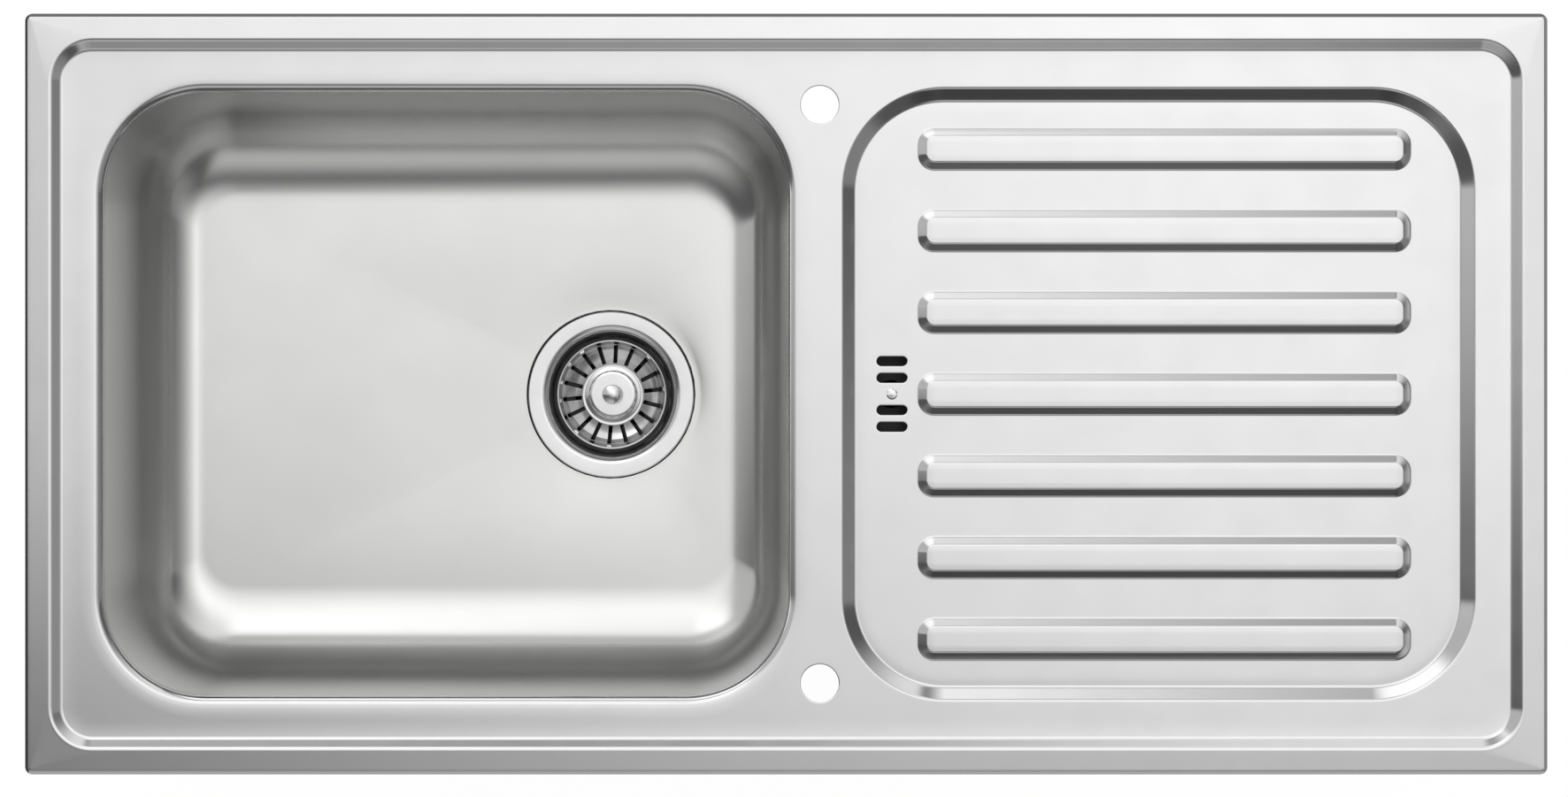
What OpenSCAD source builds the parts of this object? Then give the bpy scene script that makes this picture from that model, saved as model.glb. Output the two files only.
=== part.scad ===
// Inset kitchen sink: one bowl, a ribbed drainer, a basket strainer waste and an overflow.
// Origin: middle of the sink on the worktop's top face. +X to the drainer, +Y to the rear, +Z up.

/* [Deck] */
// Length of the sink, left to right
deck_l = 1000; // [900:5:1200]
// Width of the sink, front to rear
deck_w = 500; // [480:5:560]
// Thickness of the pressed sheet
sheet_t = 0.8; // [0.6:0.1:1.2]
// Corner radius of the outer edge
corner_r = 5; // [5:0.5:15]
// Height of the rim's top above the worktop
rim_h = 6; // [5:0.5:9]
// Horizontal run of the sloping outer edge
edge_run = 2.6; // [1.5:0.1:3]
// Bend radius of the outer edge
edge_bend = 1.2; // [0.9:0.1:1.4]
// Width of the raised rim, from the outer edge to the step
rim_w = 16; // [14:0.5:24]
// Horizontal run of the step down from the rim
step_run = 8; // [4:0.5:10]
// Drop of the step
step_drop = 4; // [2:0.5:4.5]
// Corner radius at the top of the step
step_corner_r = 27; // [20:1:40]
// Bend radius of the step
step_bend = 2; // [1:0.5:3]

/* [Bowl] */
// Inside length of the bowl at its seam
bowl_l = 450; // [400:5:480]
// Distance from the sink's left edge to the inside of the bowl
bowl_inset = 51; // [50:1:70]
// Distance from the sink's front and rear edges to the inside of the bowl
bowl_margin = 51.5; // [50:0.5:70]
// Depth of the bowl below the deck
bowl_depth = 165; // [130:5:200]
// Corner radius of the bowl seen from above
bowl_corner_r = 60; // [55:1:90]
// How far each wall leans in from the seam to the floor's fillet
wall_draft = 5; // [1:0.5:6]
// Radius between wall and floor
floor_r = 45; // [20:1:48]
// Radius of the lip where the deck turns down into the bowl
lip_r = 6; // [4:0.5:7]
// Height of the deck's collar below the lip
collar_h = 3; // [2:0.5:8]

/* [Drainer] */
// Width of the deck between the bowl and the tray
divider_w = 36; // [34:1:60]
// Distance from the sink's right edge to the tray
tray_inset = 48; // [46:1:60]
// Distance from the sink's front and rear edges to the tray
tray_margin = 49; // [46:0.5:60]
// Corner radius of the tray seen from above
tray_corner_r = 61; // [30:1:80]
// Depth of the tray
tray_drop = 7; // [5:0.5:12]
// Horizontal run of the tray's sloping wall
tray_run = 9; // [5:0.5:12]
// Bend radius of the tray's wall
tray_bend = 3; // [1.5:0.5:3]
// Number of ribs
rib_count = 7; // [4:1:7]
// Distance from the tray's left end to the ribs
rib_inset = 50; // [50:1:80]
// Distance from the ribs to the tray's right end
rib_end = 41; // [36:1:80]
// Distance from the tray's front and rear to the outer ribs
rib_margin = 26; // [24:0.5:40]
// Width of a rib
rib_w = 27.3; // [24:0.1:34]
// Height of a rib
rib_h = 4; // [2:0.5:6]
// Horizontal run of a rib's sloping sides
rib_run = 5.5; // [3:0.5:6]
// Corner radius of a rib's ends
rib_corner_r = 10.5; // [9.5:0.5:11.5]
// Bend radius of a rib
rib_bend = 2; // [1:0.5:2]

/* [Tap holes] */
// Radius of the tap holes
tap_r = 12.5; // [10:0.5:17.5]
// Distance from the sink's front and rear edges to the middle of the tap holes
tap_inset = 60; // [50:1:90]

/* [Overflow] */
// Distance from the tray's left end to the middle of the slots
slot_inset = 32.6; // [31:0.2:33]
// Length of an overflow slot
slot_l = 20; // [12:0.5:21]
// Width of an overflow slot
slot_w = 6.4; // [5:0.2:7]
// Distance of the inner slots from the middle
slot_near = 10.6; // [10:0.2:11]
// Distance of the outer slots from the middle
slot_far = 21.6; // [21:0.2:23]
// Radius of the overflow screw's shank
oscrew_r = 2.45; // [2:0.05:2.5]
// Radius of the overflow screw's head
oscrew_head_r = 3.6; // [3:0.1:5]
// Thickness of the overflow's gasket
ogasket_t = 2; // [1:0.5:3]
// Length of the overflow chamber, front to rear
chamber_l = 54; // [52:1:56]
// Width of the overflow chamber, left to right
chamber_w = 24; // [22:1:26]
// Depth of the overflow chamber
chamber_h = 23; // [20:1:30]
// Wall of the plastic mouldings
mould_t = 2.5; // [2:0.25:3]
// Length of the overflow's spigot below its chamber
spigot_l = 24; // [20:1:40]

/* [Clips] */
// Distance of the clips' screws from the outer edge of the sink
clip_inset = 36; // [36:0.5:38]
// Distance from the sink's left and right edges to the outer clips of the front and the rear
clip_end = 200; // [120:5:240]
// Distance of the middle clips from the tap holes, along the front and the rear
clip_from_tap = 72; // [60:1:120]
// Thickness of the brackets' sheet
anchor_t = 1.5; // [1:0.25:2]
// Depth of the brackets
anchor_h = 14; // [12:1:20]
// Length of the brackets along the rim
anchor_l = 22; // [18:1:30]
// Radius of the clips' screws
cscrew_r = 2.4; // [2:0.1:3]
// Length of the clips' screws
cscrew_l = 50; // [40:1:70]
// Thickness of a claw
claw_t = 2; // [1.5:0.25:2.5]
// Width of a claw
claw_w = 14; // [11:0.5:14]
// Reach of a claw from its screw to its teeth
claw_l = 31; // [28:1:34]
// Rise of a claw's end
claw_rise = 10; // [6:1:14]

/* [Waste] */
// Distance from the bowl's right wall to the middle of the waste
drain_inset = 123.5; // [118:0.5:200]
// Radius of the waste's flange
flange_r = 58; // [56:0.5:62]
// Thickness of the waste's cup
cup_t = 1; // [0.8:0.1:1.2]
// Thickness of the seal under the flange
fseal_t = 1.6; // [1:0.1:2.5]
// Radius of the hole in the bowl
hole_r = 46; // [45.5:0.5:47]
// Depth of the cup below the bowl's floor
cup_h = 48; // [46:1:60]
// Thickness of the gasket under the bowl
lgasket_t = 2.5; // [1.5:0.5:4]
// Radius of the outlet's thread
outlet_r = 23.9; // [20:0.1:25]
// Length of the outlet
outlet_l = 30; // [20:1:50]
// Radius of the centre bolt's shank
bolt_r = 5; // [4.5:0.1:5.5]
// Clearance between the cup and what it passes through
cup_gap = 1; // [0.8:0.1:1.5]

/* [Basket] */
// Outer radius of the basket's rim
basket_r = 38.5; // [36:0.1:38.7]
// Depth of the basket
basket_h = 20; // [16:0.5:24]
// Thickness of the basket's sheet
basket_t = 0.6; // [0.5:0.1:0.8]
// Number of slots in the basket
basket_slots = 18; // [10:1:20]
// Width of a slot
basket_slot_w = 2.9; // [2:0.1:3.2]
// Radius of the raised plate in the basket
cap_r = 20; // [18:0.5:21]
// Radius of the knob
knob_r = 6.8; // [6:0.1:10]
// Radius of the spindle
spindle_r = 3; // [2.5:0.1:3.2]
// Clearance round the spindle in the centre bolt
spindle_gap = 0.3; // [0.3:0.05:0.5]

/* [Hose] */
// Outer radius of the hose's plain ends
hose_r = 10.8; // [10:0.1:11]
// Inner radius of the hose
hose_bore_r = 9; // [8:0.1:9.4]
// Height of the hose's ribs
hose_rib_h = 2; // [1:0.1:2.5]
// Distance between two ribs of the hose
hose_rib_pitch = 5; // [4:0.5:8]
// Radius of the hose's bend
hose_bend_r = 55; // [45:1:70]
// Outer radius of the threaded spigots
thread_r = 15; // [14:0.25:16]

/* [Pads and seals] */
// Width of the foam strip under the rim
rseal_w = 8; // [5:0.5:9]
// Distance of the foam strip from the outer edge
rseal_inset = 5; // [4.5:0.5:6]
// Thickness of the sound pads
pad_t = 3; // [2:0.5:3.5]
// Length of the pad under the bowl's floor
floor_pad_l = 200; // [100:5:205]
// Width of the pad under the bowl's floor
floor_pad_w = 250; // [100:5:260]
// Length of the pads on the bowl's walls
side_pad_l = 260; // [100:5:300]
// Height of the pads on the bowl's walls
side_pad_h = 70; // [40:1:75]
// Width of the pads between the ribs
rib_pad_w = 16; // [10:1:17]
// Distance from the ends of the ribs to the ends of those pads
rib_pad_end = 32; // [20:1:80]

/* [Hidden] */
$fn = 64;

steel = "#c9cbcc";
bright_steel = "#dcdede";
zinc = "#a9adb2";
brass = "#c9a24a";
black_rubber = "#1b1b1c";
black_plastic = "#232426";
grey_plastic = "#8d9094";
foam = "#4a4c4f";
pad_grey = "#3a3b3d";

// Flat stretch beside each bend, and how far past the bend the flat plates start
lap = 3;
seam = 2.2;
// The same for the narrow tops of the ribs and for the bowl's lip
rib_lap = 2;
rib_seam = 1.2;
lip_seam = 1;
// Corner radius of the rim's flat plate, and how near the swept edge comes to the corner's middle
plate_r = 1;
edge_stop = 0.4;
// How far a cut runs past the face that it opens
cut = 1;

// Heights of the main faces
deck_z = rim_h - step_drop;
deck_under = deck_z - sheet_t;
seam_z = deck_z - lip_r - collar_h;
floor_z = deck_z - bowl_depth;
tray_z = deck_z - tray_drop;

// Places of the bowl, the tray and what sits in them
bowl_w = deck_w - 2 * bowl_margin;
bowl_x = bowl_inset + bowl_l / 2 - deck_l / 2;
bowl_right = bowl_x + bowl_l / 2;
drain_x = bowl_right - drain_inset;
tray_left = bowl_right + divider_w;
tray_l = deck_l / 2 - tray_inset - tray_left;
tray_w = deck_w - 2 * tray_margin;
tray_x = tray_left + tray_l / 2;
rib_l = tray_l - rib_inset - rib_end;
rib_x = tray_left + rib_inset + rib_l / 2;
rib_pitch = (tray_w - rib_w - 2 * rib_margin) / (rib_count - 1);
slot_x = tray_left + slot_inset;
tap_x = (bowl_right + lip_r + tray_left) / 2;
tap_y = deck_w / 2 - tap_inset;

// The fillet of the bowl's floor stays inside the corner
fillet_r = min(floor_r, bowl_corner_r - wall_draft - lap - plate_r);
fillet_in = wall_draft + fillet_r;

// Seat of the waste, pressed into the bowl's floor
seat_gap = 0.6;
seat_run = 1.9;
seat_bend = 1.2;
seat_drop = fseal_t + cup_t;
seat_r = flange_r + seat_gap + seat_run;

// Cup of the waste, measured down from the bowl's floor: mouth, throat, cone, shelf and floor
flange_turn = 0.8;
mouth_run = 3;
throat_r = hole_r - cup_gap - cup_t;
throat_z = -5;
cone_r = throat_r - 3.3;
cone_z = -15;
shelf_run = 2.4;
shelf_h = 5;
shelf_bead = 0.3;
shoulder_r = cone_r - shelf_run;
cup_fillet = 6;
cup_floor_r = shoulder_r - cup_fillet;
cup_holes = 8;
cup_hole_r = 6;
cup_hole_at = 22;

// Basket, measured down from the bowl's floor
basket_top = -12;
basket_floor = basket_top - basket_h;
basket_roll = 0.7;
basket_lean = 4.4;
basket_fillet = 6;
lip_drop = 2;
slot_in = cap_r + 2;
slot_out = basket_r - 3.5;
slot_turn = 86;
slot_h = basket_h - 3;
bseal_gap = 0.4;
bseal_round = 0.7;
bseal_lip = 0.9;
cap_h = 5.4;
cap_top = basket_floor + cap_h;
cap_edge = 1;
cap_bevel = 3.4;
cap_dish = 3;
knob_top = -8;
knob_h = 7.6;
knob_round = 2.4;
knob_neck = 1;
spindle_end = -(cup_h + 7);
spindle_point = 0.7;
nut_wall_b = 2.8;
nut_h = 4.4;

// Centre bolt and the hub that it screws into
bolt_head_r = 8;
bolt_head_h = 4;
bolt_slot_w = 2;
bolt_slot_h = 1.5;
bolt_end = -(cup_h + 22);
insert_play = 0.05;
hub_r = 11;
hub_top = -(cup_h + 4);
hub_h = 18;
hub_arm_t = 3;
insert_r = 8;
insert_h = 12;
insert_drop = 2;

// Housing of the waste, measured down from the bowl's floor
body_top = -(seat_drop + sheet_t + lgasket_t);
body_in_r = hole_r + 1;
body_wall = 3;
body_lip = 3.5;
outlet_wall = 4.1;
cone_top = -(cup_h + 8);
cone_end = cone_top - 18;
outlet_end = cone_end - outlet_l - 4;
inlet_z = -30;
inlet_end = body_in_r + 33;

// Overflow chamber, measured down from the tray
ogasket_top = -sheet_t;
head_top = ogasket_top - ogasket_t;
head_flange_t = 3;
head_corner_r = 6.5;
head_lip = 4;
head_bottom = head_top - chamber_h - mould_t;
spigot_end = head_bottom - spigot_l;
web_t = 3;
boss_r = 5.5;
boss_h = 17;
oscrew_l = 18;
oscrew_head_h = 1.9;
oscrew_slot_w = 0.9;
oscrew_slot_h = 0.9;
oinsert_r = 3.8;
oinsert_h = 10;
oinsert_drop = 3;

// Threaded spigot, its socket, its nut and its washer
socket_r = hose_r + 0.3;
socket_l = 14;
spigot_bore_r = hose_bore_r + 0.5;
thread_gap = 0.2;
nut_wall = 2.2;
nut_skirt = 8;
nut_nose = 10;
nut_lugs = 10;
nut_lug_r = 1.5;
washer_l = 4.8;
engage = 12;

// Route of the hose: down from the overflow, one bend, then across into the waste
hose_top = [slot_x, tray_z + spigot_end + engage];
hose_end = [drain_x + inlet_end - engage, floor_z + inlet_z];
hose_down = hose_top[1] - hose_end[1] - hose_bend_r;
hose_across = hose_top[0] - hose_bend_r - hose_end[0];
hose_arc = hose_bend_r * PI / 2;
hose_total = hose_down + hose_arc + hose_across;
hose_plain = engage + nut_nose + 8;
hose_sides = 8;
hose_ribs = floor((hose_total - 2 * hose_plain) / hose_rib_pitch);
hose_slack = (hose_total - hose_ribs * hose_rib_pitch) / 2;
bore_steps = 8;

// Clips: place and outward direction of each
clip_reach_x = deck_l / 2 - clip_inset;
clip_reach_y = deck_w / 2 - clip_inset;
clip_row = [clip_end - deck_l / 2, tap_x - clip_from_tap, deck_l / 2 - clip_end];
clips = [
    for (x = clip_row) [x, clip_reach_y, 90],
    for (x = clip_row) [x, -clip_reach_y, -90],
    [-clip_reach_x, 0, 180],
    [clip_reach_x, 0, 0]
];
anchor_in = 8;
anchor_out = 7;
claw_gap = 0.3;
claw_hole_gap = 0.35;
claw_flat = 0.6;
claw_tip = 2;
claw_notch = 2.4;
cscrew_top = 3;
chead_r = 5.2;
chead_h = 3.5;
chead_slot_w = 1.2;
chead_slot_h = 1.5;
thread_play = 0.1;

// Pads: corner radius, gap to the waste and to the fillet, and drop below the seam
pad_corner_r = 12;
pad_gap = 4;
side_pad_drop = 12;

// Vector helpers
function unit(v) = v / norm(v);
function left(v) = [-v[1], v[0]];
function turned(v, a) = [v[0] * cos(a) - v[1] * sin(a), v[0] * sin(a) + v[1] * cos(a)];
function side_of(u, v) = sign(u[0] * v[1] - u[1] * v[0]);

// Points of an arc of radius r that replaces corner i of a line
function corner_arc(p, i, r, n) =
    let (
        u = unit(p[i] - p[i - 1]),
        v = unit(p[i + 1] - p[i]),
        s = side_of(u, v),
        half = acos(u * v) / 2,
        c = p[i] - r * tan(half) * u + s * r * left(u)
    )
    [for (k = [0:n]) c - s * r * left(turned(u, s * 2 * half * k / n))];

// A line with its inner corners rounded
function rounded_line(p, r, n = 3) =
    [p[0], for (i = [1:len(p) - 2]) each corner_arc(p, i, r[i - 1], n), p[len(p) - 1]];

// Mitred offset direction at point i of a line
function mitre(p, i) =
    let (
        last = len(p) - 1,
        a = left(unit(p[max(i, 1)] - p[max(i, 1) - 1])),
        b = left(unit(p[min(i, last - 1) + 1] - p[min(i, last - 1)]))
    )
    (a + b) / (1 + a * b);

// Closed outline of a sheet of thickness t beside a line, to the line's left where t is positive
function sheet(p, t) =
    [each p, for (i = [len(p) - 1:-1:0]) p[i] + t * mitre(p, i)];

// Top face of a sheet that steps down by drop over run, as distances inward and heights
function step_line(run, drop, bend, out, in) =
    rounded_line([[-out, 0], [0, 0], [run, -drop], [run + in, -drop]], [bend, bend]);

// Profile points of a rounded edge from radius r inward: convex below height z where round is positive,
// and concave above it where round is negative
function turned_edge(r, z, round, sweep) =
    [for (a = [0:22.5:sweep]) [r - abs(round) * (1 - cos(a)), z - round * (1 - sin(a))]];

// Rounded rectangle
module rounded(l, w, r) {
    square([l, w - 2 * r], center = true);
    square([l - 2 * r, w], center = true);
    for (sx = [-1, 1]) {
        for (sy = [-1, 1]) {
            translate([sx * (l / 2 - r), sy * (w / 2 - r)])
                circle(r);
        }
    }
}

// Sweeps a profile of inward distances and heights round a rounded rectangle
module frame_sweep(l, w, r, profile) {
    section = [for (p = profile) [r - p[0], p[1]]];
    for (k = [0:3]) {
        sx = (k == 0 || k == 3) ? 1 : -1;
        sy = k < 2 ? 1 : -1;
        translate([sx * (l / 2 - r), sy * (w / 2 - r), 0])
            rotate(90 * k)
                rotate_extrude(angle = 90)
                    polygon(section);
    }
    for (s = [0, 180]) {
        rotate(s)
            translate([l / 2 - r, 0, 0])
                rotate([90, 0, 0])
                    linear_extrude(w - 2 * r, center = true)
                        polygon(section);
        rotate(s + 90)
            translate([w / 2 - r, 0, 0])
                rotate([90, 0, 0])
                    linear_extrude(l - 2 * r, center = true)
                        polygon(section);
    }
}

module ring(r_out, r_in, h) {
    linear_extrude(h)
        difference() {
            circle(r_out);
            circle(r_in);
        }
}

// Outer edge: slopes up from the worktop and bends into the rim
module outer_edge() {
    foot = sheet_t * cos(atan2(rim_h, edge_run));
    line = rounded_line([[0, foot], [edge_run, rim_h], [corner_r - edge_stop, rim_h]], [edge_bend]);
    frame_sweep(deck_l, deck_w, corner_r, sheet(line, -sheet_t));
}

module rim_plate() {
    edge = corner_r - plate_r;
    translate([0, 0, rim_h - sheet_t])
        linear_extrude(sheet_t)
            difference() {
                rounded(deck_l - 2 * edge, deck_w - 2 * edge, plate_r);
                rounded(deck_l - 2 * (rim_w - seam), deck_w - 2 * (rim_w - seam), step_corner_r + seam);
            }
}

module rim_step() {
    line = step_line(step_run, step_drop, step_bend, lap, lap);
    translate([0, 0, rim_h])
        frame_sweep(deck_l - 2 * rim_w, deck_w - 2 * rim_w, step_corner_r, sheet(line, -sheet_t));
}

module deck_plate() {
    edge = rim_w + step_run + seam;
    mouth = lip_r + lip_seam;
    translate([0, 0, deck_under])
        linear_extrude(sheet_t)
            difference() {
                rounded(deck_l - 2 * edge, deck_w - 2 * edge, step_corner_r - step_run - seam);
                translate([bowl_x, 0])
                    rounded(bowl_l + 2 * mouth, bowl_w + 2 * mouth, bowl_corner_r + mouth);
                translate([tray_x, 0])
                    rounded(tray_l + 2 * seam, tray_w + 2 * seam, tray_corner_r + seam);
                for (s = [-1, 1]) {
                    translate([tap_x, s * tap_y])
                        circle(tap_r);
                }
            }
}

// Lip and collar where the deck turns down into the bowl
module bowl_lip() {
    line = rounded_line([[-lip_r - lap, deck_z], [0, deck_z], [0, seam_z]], [lip_r], 5);
    translate([bowl_x, 0, 0])
        frame_sweep(bowl_l, bowl_w, bowl_corner_r, sheet(line, -sheet_t));
}

module tray_wall() {
    line = step_line(tray_run, tray_drop, tray_bend, lap, lap);
    translate([tray_x, 0, deck_z])
        frame_sweep(tray_l, tray_w, tray_corner_r, sheet(line, -sheet_t));
}

module tray_floor() {
    edge = tray_run + seam;
    translate([0, 0, tray_z - sheet_t])
        linear_extrude(sheet_t)
            difference() {
                translate([tray_x, 0])
                    rounded(tray_l - 2 * edge, tray_w - 2 * edge, tray_corner_r - edge);
                for (y = rib_places()) {
                    translate([rib_x, y])
                        rounded(rib_l + 2 * seam, rib_w + 2 * seam, rib_corner_r + seam);
                }
                for (y = [-slot_far, -slot_near, slot_near, slot_far]) {
                    translate([slot_x, y])
                        slot_shape();
                }
                translate([slot_x, 0])
                    circle(oscrew_r + seat_gap / 2);
            }
}

module slot_shape() {
    square([slot_l - slot_w, slot_w], center = true);
    for (s = [-1, 1]) {
        translate([s * (slot_l - slot_w) / 2, 0])
            circle(slot_w / 2);
    }
}

function rib_places() = [for (i = [0:rib_count - 1]) (i - (rib_count - 1) / 2) * rib_pitch];

module rib() {
    top = rib_run + rib_seam;
    line = step_line(rib_run, -rib_h, rib_bend, lap, rib_lap);
    frame_sweep(rib_l, rib_w, rib_corner_r, sheet(line, -sheet_t));
    translate([0, 0, rib_h - sheet_t])
        linear_extrude(sheet_t)
            rounded(rib_l - 2 * top, rib_w - 2 * top, rib_corner_r - top);
}

module sink_deck() {
    color(steel) {
        union() {
            outer_edge();
            rim_plate();
            rim_step();
        }
        union() {
            deck_plate();
            bowl_lip();
        }
        union() {
            tray_wall();
            tray_floor();
            for (y = rib_places()) {
                translate([rib_x, y, tray_z])
                    rib();
            }
        }
    }
}

module bowl() {
    edge = fillet_in + seam;
    line = [
        [0, seam_z],
        for (a = [0:9:90])
            [fillet_in - fillet_r * cos(a), floor_z + fillet_r * (1 - sin(a))],
        [fillet_in + lap, floor_z]
    ];
    seat = step_line(seat_run, seat_drop, seat_bend, lap, seat_r - seat_run - hole_r);
    color(steel) {
        translate([bowl_x, 0, 0])
            frame_sweep(bowl_l, bowl_w, bowl_corner_r, sheet(line, -sheet_t));
        translate([0, 0, floor_z - sheet_t])
            linear_extrude(sheet_t)
                difference() {
                    translate([bowl_x, 0])
                        rounded(bowl_l - 2 * edge, bowl_w - 2 * edge, bowl_corner_r - edge);
                    translate([drain_x, 0])
                        circle(seat_r + seam);
                }
        translate([drain_x, 0, floor_z])
            rotate_extrude()
                polygon([for (p = sheet(seat, -sheet_t)) [seat_r - p[0], p[1]]]);
    }
}

module rim_seal() {
    color(foam)
        frame_sweep(deck_l, deck_w, rseal_inset + rseal_w + 2, [
            [rseal_inset, 0], [rseal_inset + rseal_w, 0],
            [rseal_inset + rseal_w, rim_h - sheet_t], [rseal_inset, rim_h - sheet_t]
        ]);
}

module bowl_floor_pad() {
    color(pad_grey)
        translate([drain_x - seat_r - lap - pad_gap - floor_pad_l / 2, 0, floor_z - sheet_t - pad_t])
            linear_extrude(pad_t)
                rounded(floor_pad_l, floor_pad_w, pad_corner_r);
}

// Outside of the bowl's front and rear walls at height z
function wall_y(z) =
    let (h = seam_z - floor_z - fillet_r)
    bowl_w / 2 + sheet_t * sqrt(1 + pow(wall_draft / h, 2)) - wall_draft * (seam_z - z) / h;

module bowl_side_pads() {
    top = seam_z - side_pad_drop;
    low = max(top - side_pad_h, floor_z + fillet_r + pad_gap);
    color(pad_grey) {
        for (s = [0, 1]) {
            mirror([0, s, 0])
                translate([bowl_x, 0, 0])
                    rotate([90, 0, 90])
                        linear_extrude(side_pad_l, center = true)
                            polygon([
                                [wall_y(top), top], [wall_y(top) + pad_t, top],
                                [wall_y(low) + pad_t, low], [wall_y(low), low]
                            ]);
        }
    }
}

module drainer_pads() {
    y = rib_places();
    color(pad_grey) {
        for (i = [0:rib_count - 2]) {
            translate([rib_x, (y[i] + y[i + 1]) / 2, tray_z - sheet_t - pad_t])
                linear_extrude(pad_t)
                    rounded(rib_l - 2 * rib_pad_end, rib_pad_w, rib_pad_w / 4);
        }
    }
}

// Puts its children at a clip, with +X outward and z = 0 under the deck
module at_clip(c) {
    translate([c[0], c[1], deck_under])
        rotate(c[2])
            children();
}

module clip_anchors() {
    section = [
        [-anchor_in, 0], [anchor_out, 0], [anchor_out, -anchor_t], [anchor_t - anchor_in, -anchor_t],
        [anchor_t - anchor_in, anchor_t - anchor_h], [anchor_out, anchor_t - anchor_h],
        [anchor_out, -anchor_h], [-anchor_in, -anchor_h]
    ];
    color(steel) {
        for (c = clips) {
            at_clip(c)
                difference() {
                    rotate([90, 0, 0])
                        linear_extrude(anchor_l, center = true)
                            polygon(section);
                    translate([0, 0, -anchor_h - cut])
                        cylinder(r = cscrew_r + thread_play, h = anchor_t + 2 * cut);
                }
        }
    }
}

module clip_screws() {
    color(zinc) {
        for (c = clips) {
            at_clip(c)
                difference() {
                    union() {
                        translate([0, 0, -cscrew_l])
                            cylinder(r = cscrew_r, h = cscrew_l - cscrew_top);
                        translate([0, 0, -cscrew_l - chead_h])
                            cylinder(r = chead_r, h = chead_h);
                    }
                    translate([0, 0, -cscrew_l - chead_h])
                        cube([2 * (chead_r + cut), chead_slot_w, 2 * chead_slot_h], center = true);
                }
        }
    }
}

// A claw: a bent strip that turns about its screw, parked along the rim
module clip_claw(i) {
    low = claw_gap - cscrew_l;
    line = [
        [0, low + claw_t], [claw_l * claw_flat, low + claw_t],
        [claw_l - claw_t, low + claw_rise - claw_tip], [claw_l - claw_t, low + claw_rise + claw_tip]
    ];
    color(zinc)
        at_clip(clips[i - 1])
            rotate(90)
                difference() {
                    union() {
                        rotate([90, 0, 0])
                            linear_extrude(claw_w, center = true)
                                polygon(sheet(line, -claw_t));
                        translate([0, 0, low])
                            cylinder(d = claw_w, h = claw_t);
                    }
                    translate([0, 0, low - cut])
                        cylinder(r = cscrew_r + claw_hole_gap, h = claw_t + 2 * cut);
                    for (s = [-1, 1]) {
                        translate([claw_l, s * claw_w / 6, low + claw_rise + claw_tip])
                            rotate([45, 0, 0])
                                cube([3 * claw_t, claw_notch, claw_notch], center = true);
                    }
                }
}

module at_drain() {
    translate([drain_x, 0, floor_z])
        children();
}

module waste_flange() {
    mouth_r = hole_r + mouth_run;
    line = [
        [flange_r, -fseal_t], [flange_r, -flange_turn], [flange_r - flange_turn, 0],
        for (a = [0:18:90]) [mouth_r - (mouth_r - throat_r) * sin(a), throat_z * (1 - cos(a))],
        [cone_r, cone_z], [cone_r - shelf_bead, cone_z - shelf_h / 2], [shoulder_r, cone_z - shelf_h],
        each turned_edge(shoulder_r, -cup_h, -cup_fillet, 90),
        [bolt_r + thread_gap, -cup_h]
    ];
    color(bright_steel)
        at_drain()
            difference() {
                rotate_extrude()
                    polygon(sheet(line, cup_t));
                for (k = [0:cup_holes - 1]) {
                    rotate(k * 360 / cup_holes)
                        translate([cup_hole_at, 0, -cup_h - cup_t - cut])
                            cylinder(r = cup_hole_r, h = cup_t + 2 * cut);
                }
            }
}

module flange_seal() {
    color(black_rubber)
        at_drain()
            translate([0, 0, -seat_drop])
                ring(flange_r - cup_t - thread_gap, hole_r + mouth_run + cut, fseal_t);
}

module lower_gasket() {
    color(black_rubber)
        at_drain()
            translate([0, 0, body_top])
                ring(body_in_r + 8, body_in_r, lgasket_t);
}

module waste_body() {
    wall_r = body_in_r + body_wall;
    bore_r = outlet_r - outlet_wall;
    outer = [
        [0, body_top], [body_in_r + 9, body_top], [body_in_r + 9, body_top - body_lip],
        [wall_r + 0.5, body_top - body_lip - 1], [wall_r, 6 - cup_h], [wall_r - 4, cone_top],
        [outlet_r + 2, cone_end], [outlet_r, cone_end - 2], [outlet_r, outlet_end], [0, outlet_end]
    ];
    inner = [
        [0, body_top + cut], [body_in_r, body_top + cut], [body_in_r, 4 - cup_h],
        [body_in_r - 3.5, cone_top], [bore_r + 0.7, cone_end + 2], [bore_r, cone_end - 2],
        [bore_r, outlet_end - cut], [0, outlet_end - cut]
    ];
    color(black_plastic)
        at_drain() {
            difference() {
                union() {
                    rotate_extrude()
                        polygon(outer);
                    translate([body_in_r - body_wall, 0, inlet_z])
                        rotate([0, 90, 0])
                            cylinder(r = thread_r, h = inlet_end - body_in_r + body_wall);
                }
                rotate_extrude()
                    polygon(inner);
                translate([body_in_r - 2 * body_wall, 0, inlet_z])
                    rotate([0, 90, 0])
                        cylinder(r = spigot_bore_r, h = inlet_end);
                translate([inlet_end - socket_l, 0, inlet_z])
                    rotate([0, 90, 0])
                        cylinder(r = socket_r, h = socket_l + cut);
            }
            body_hub();
        }
}

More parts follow.
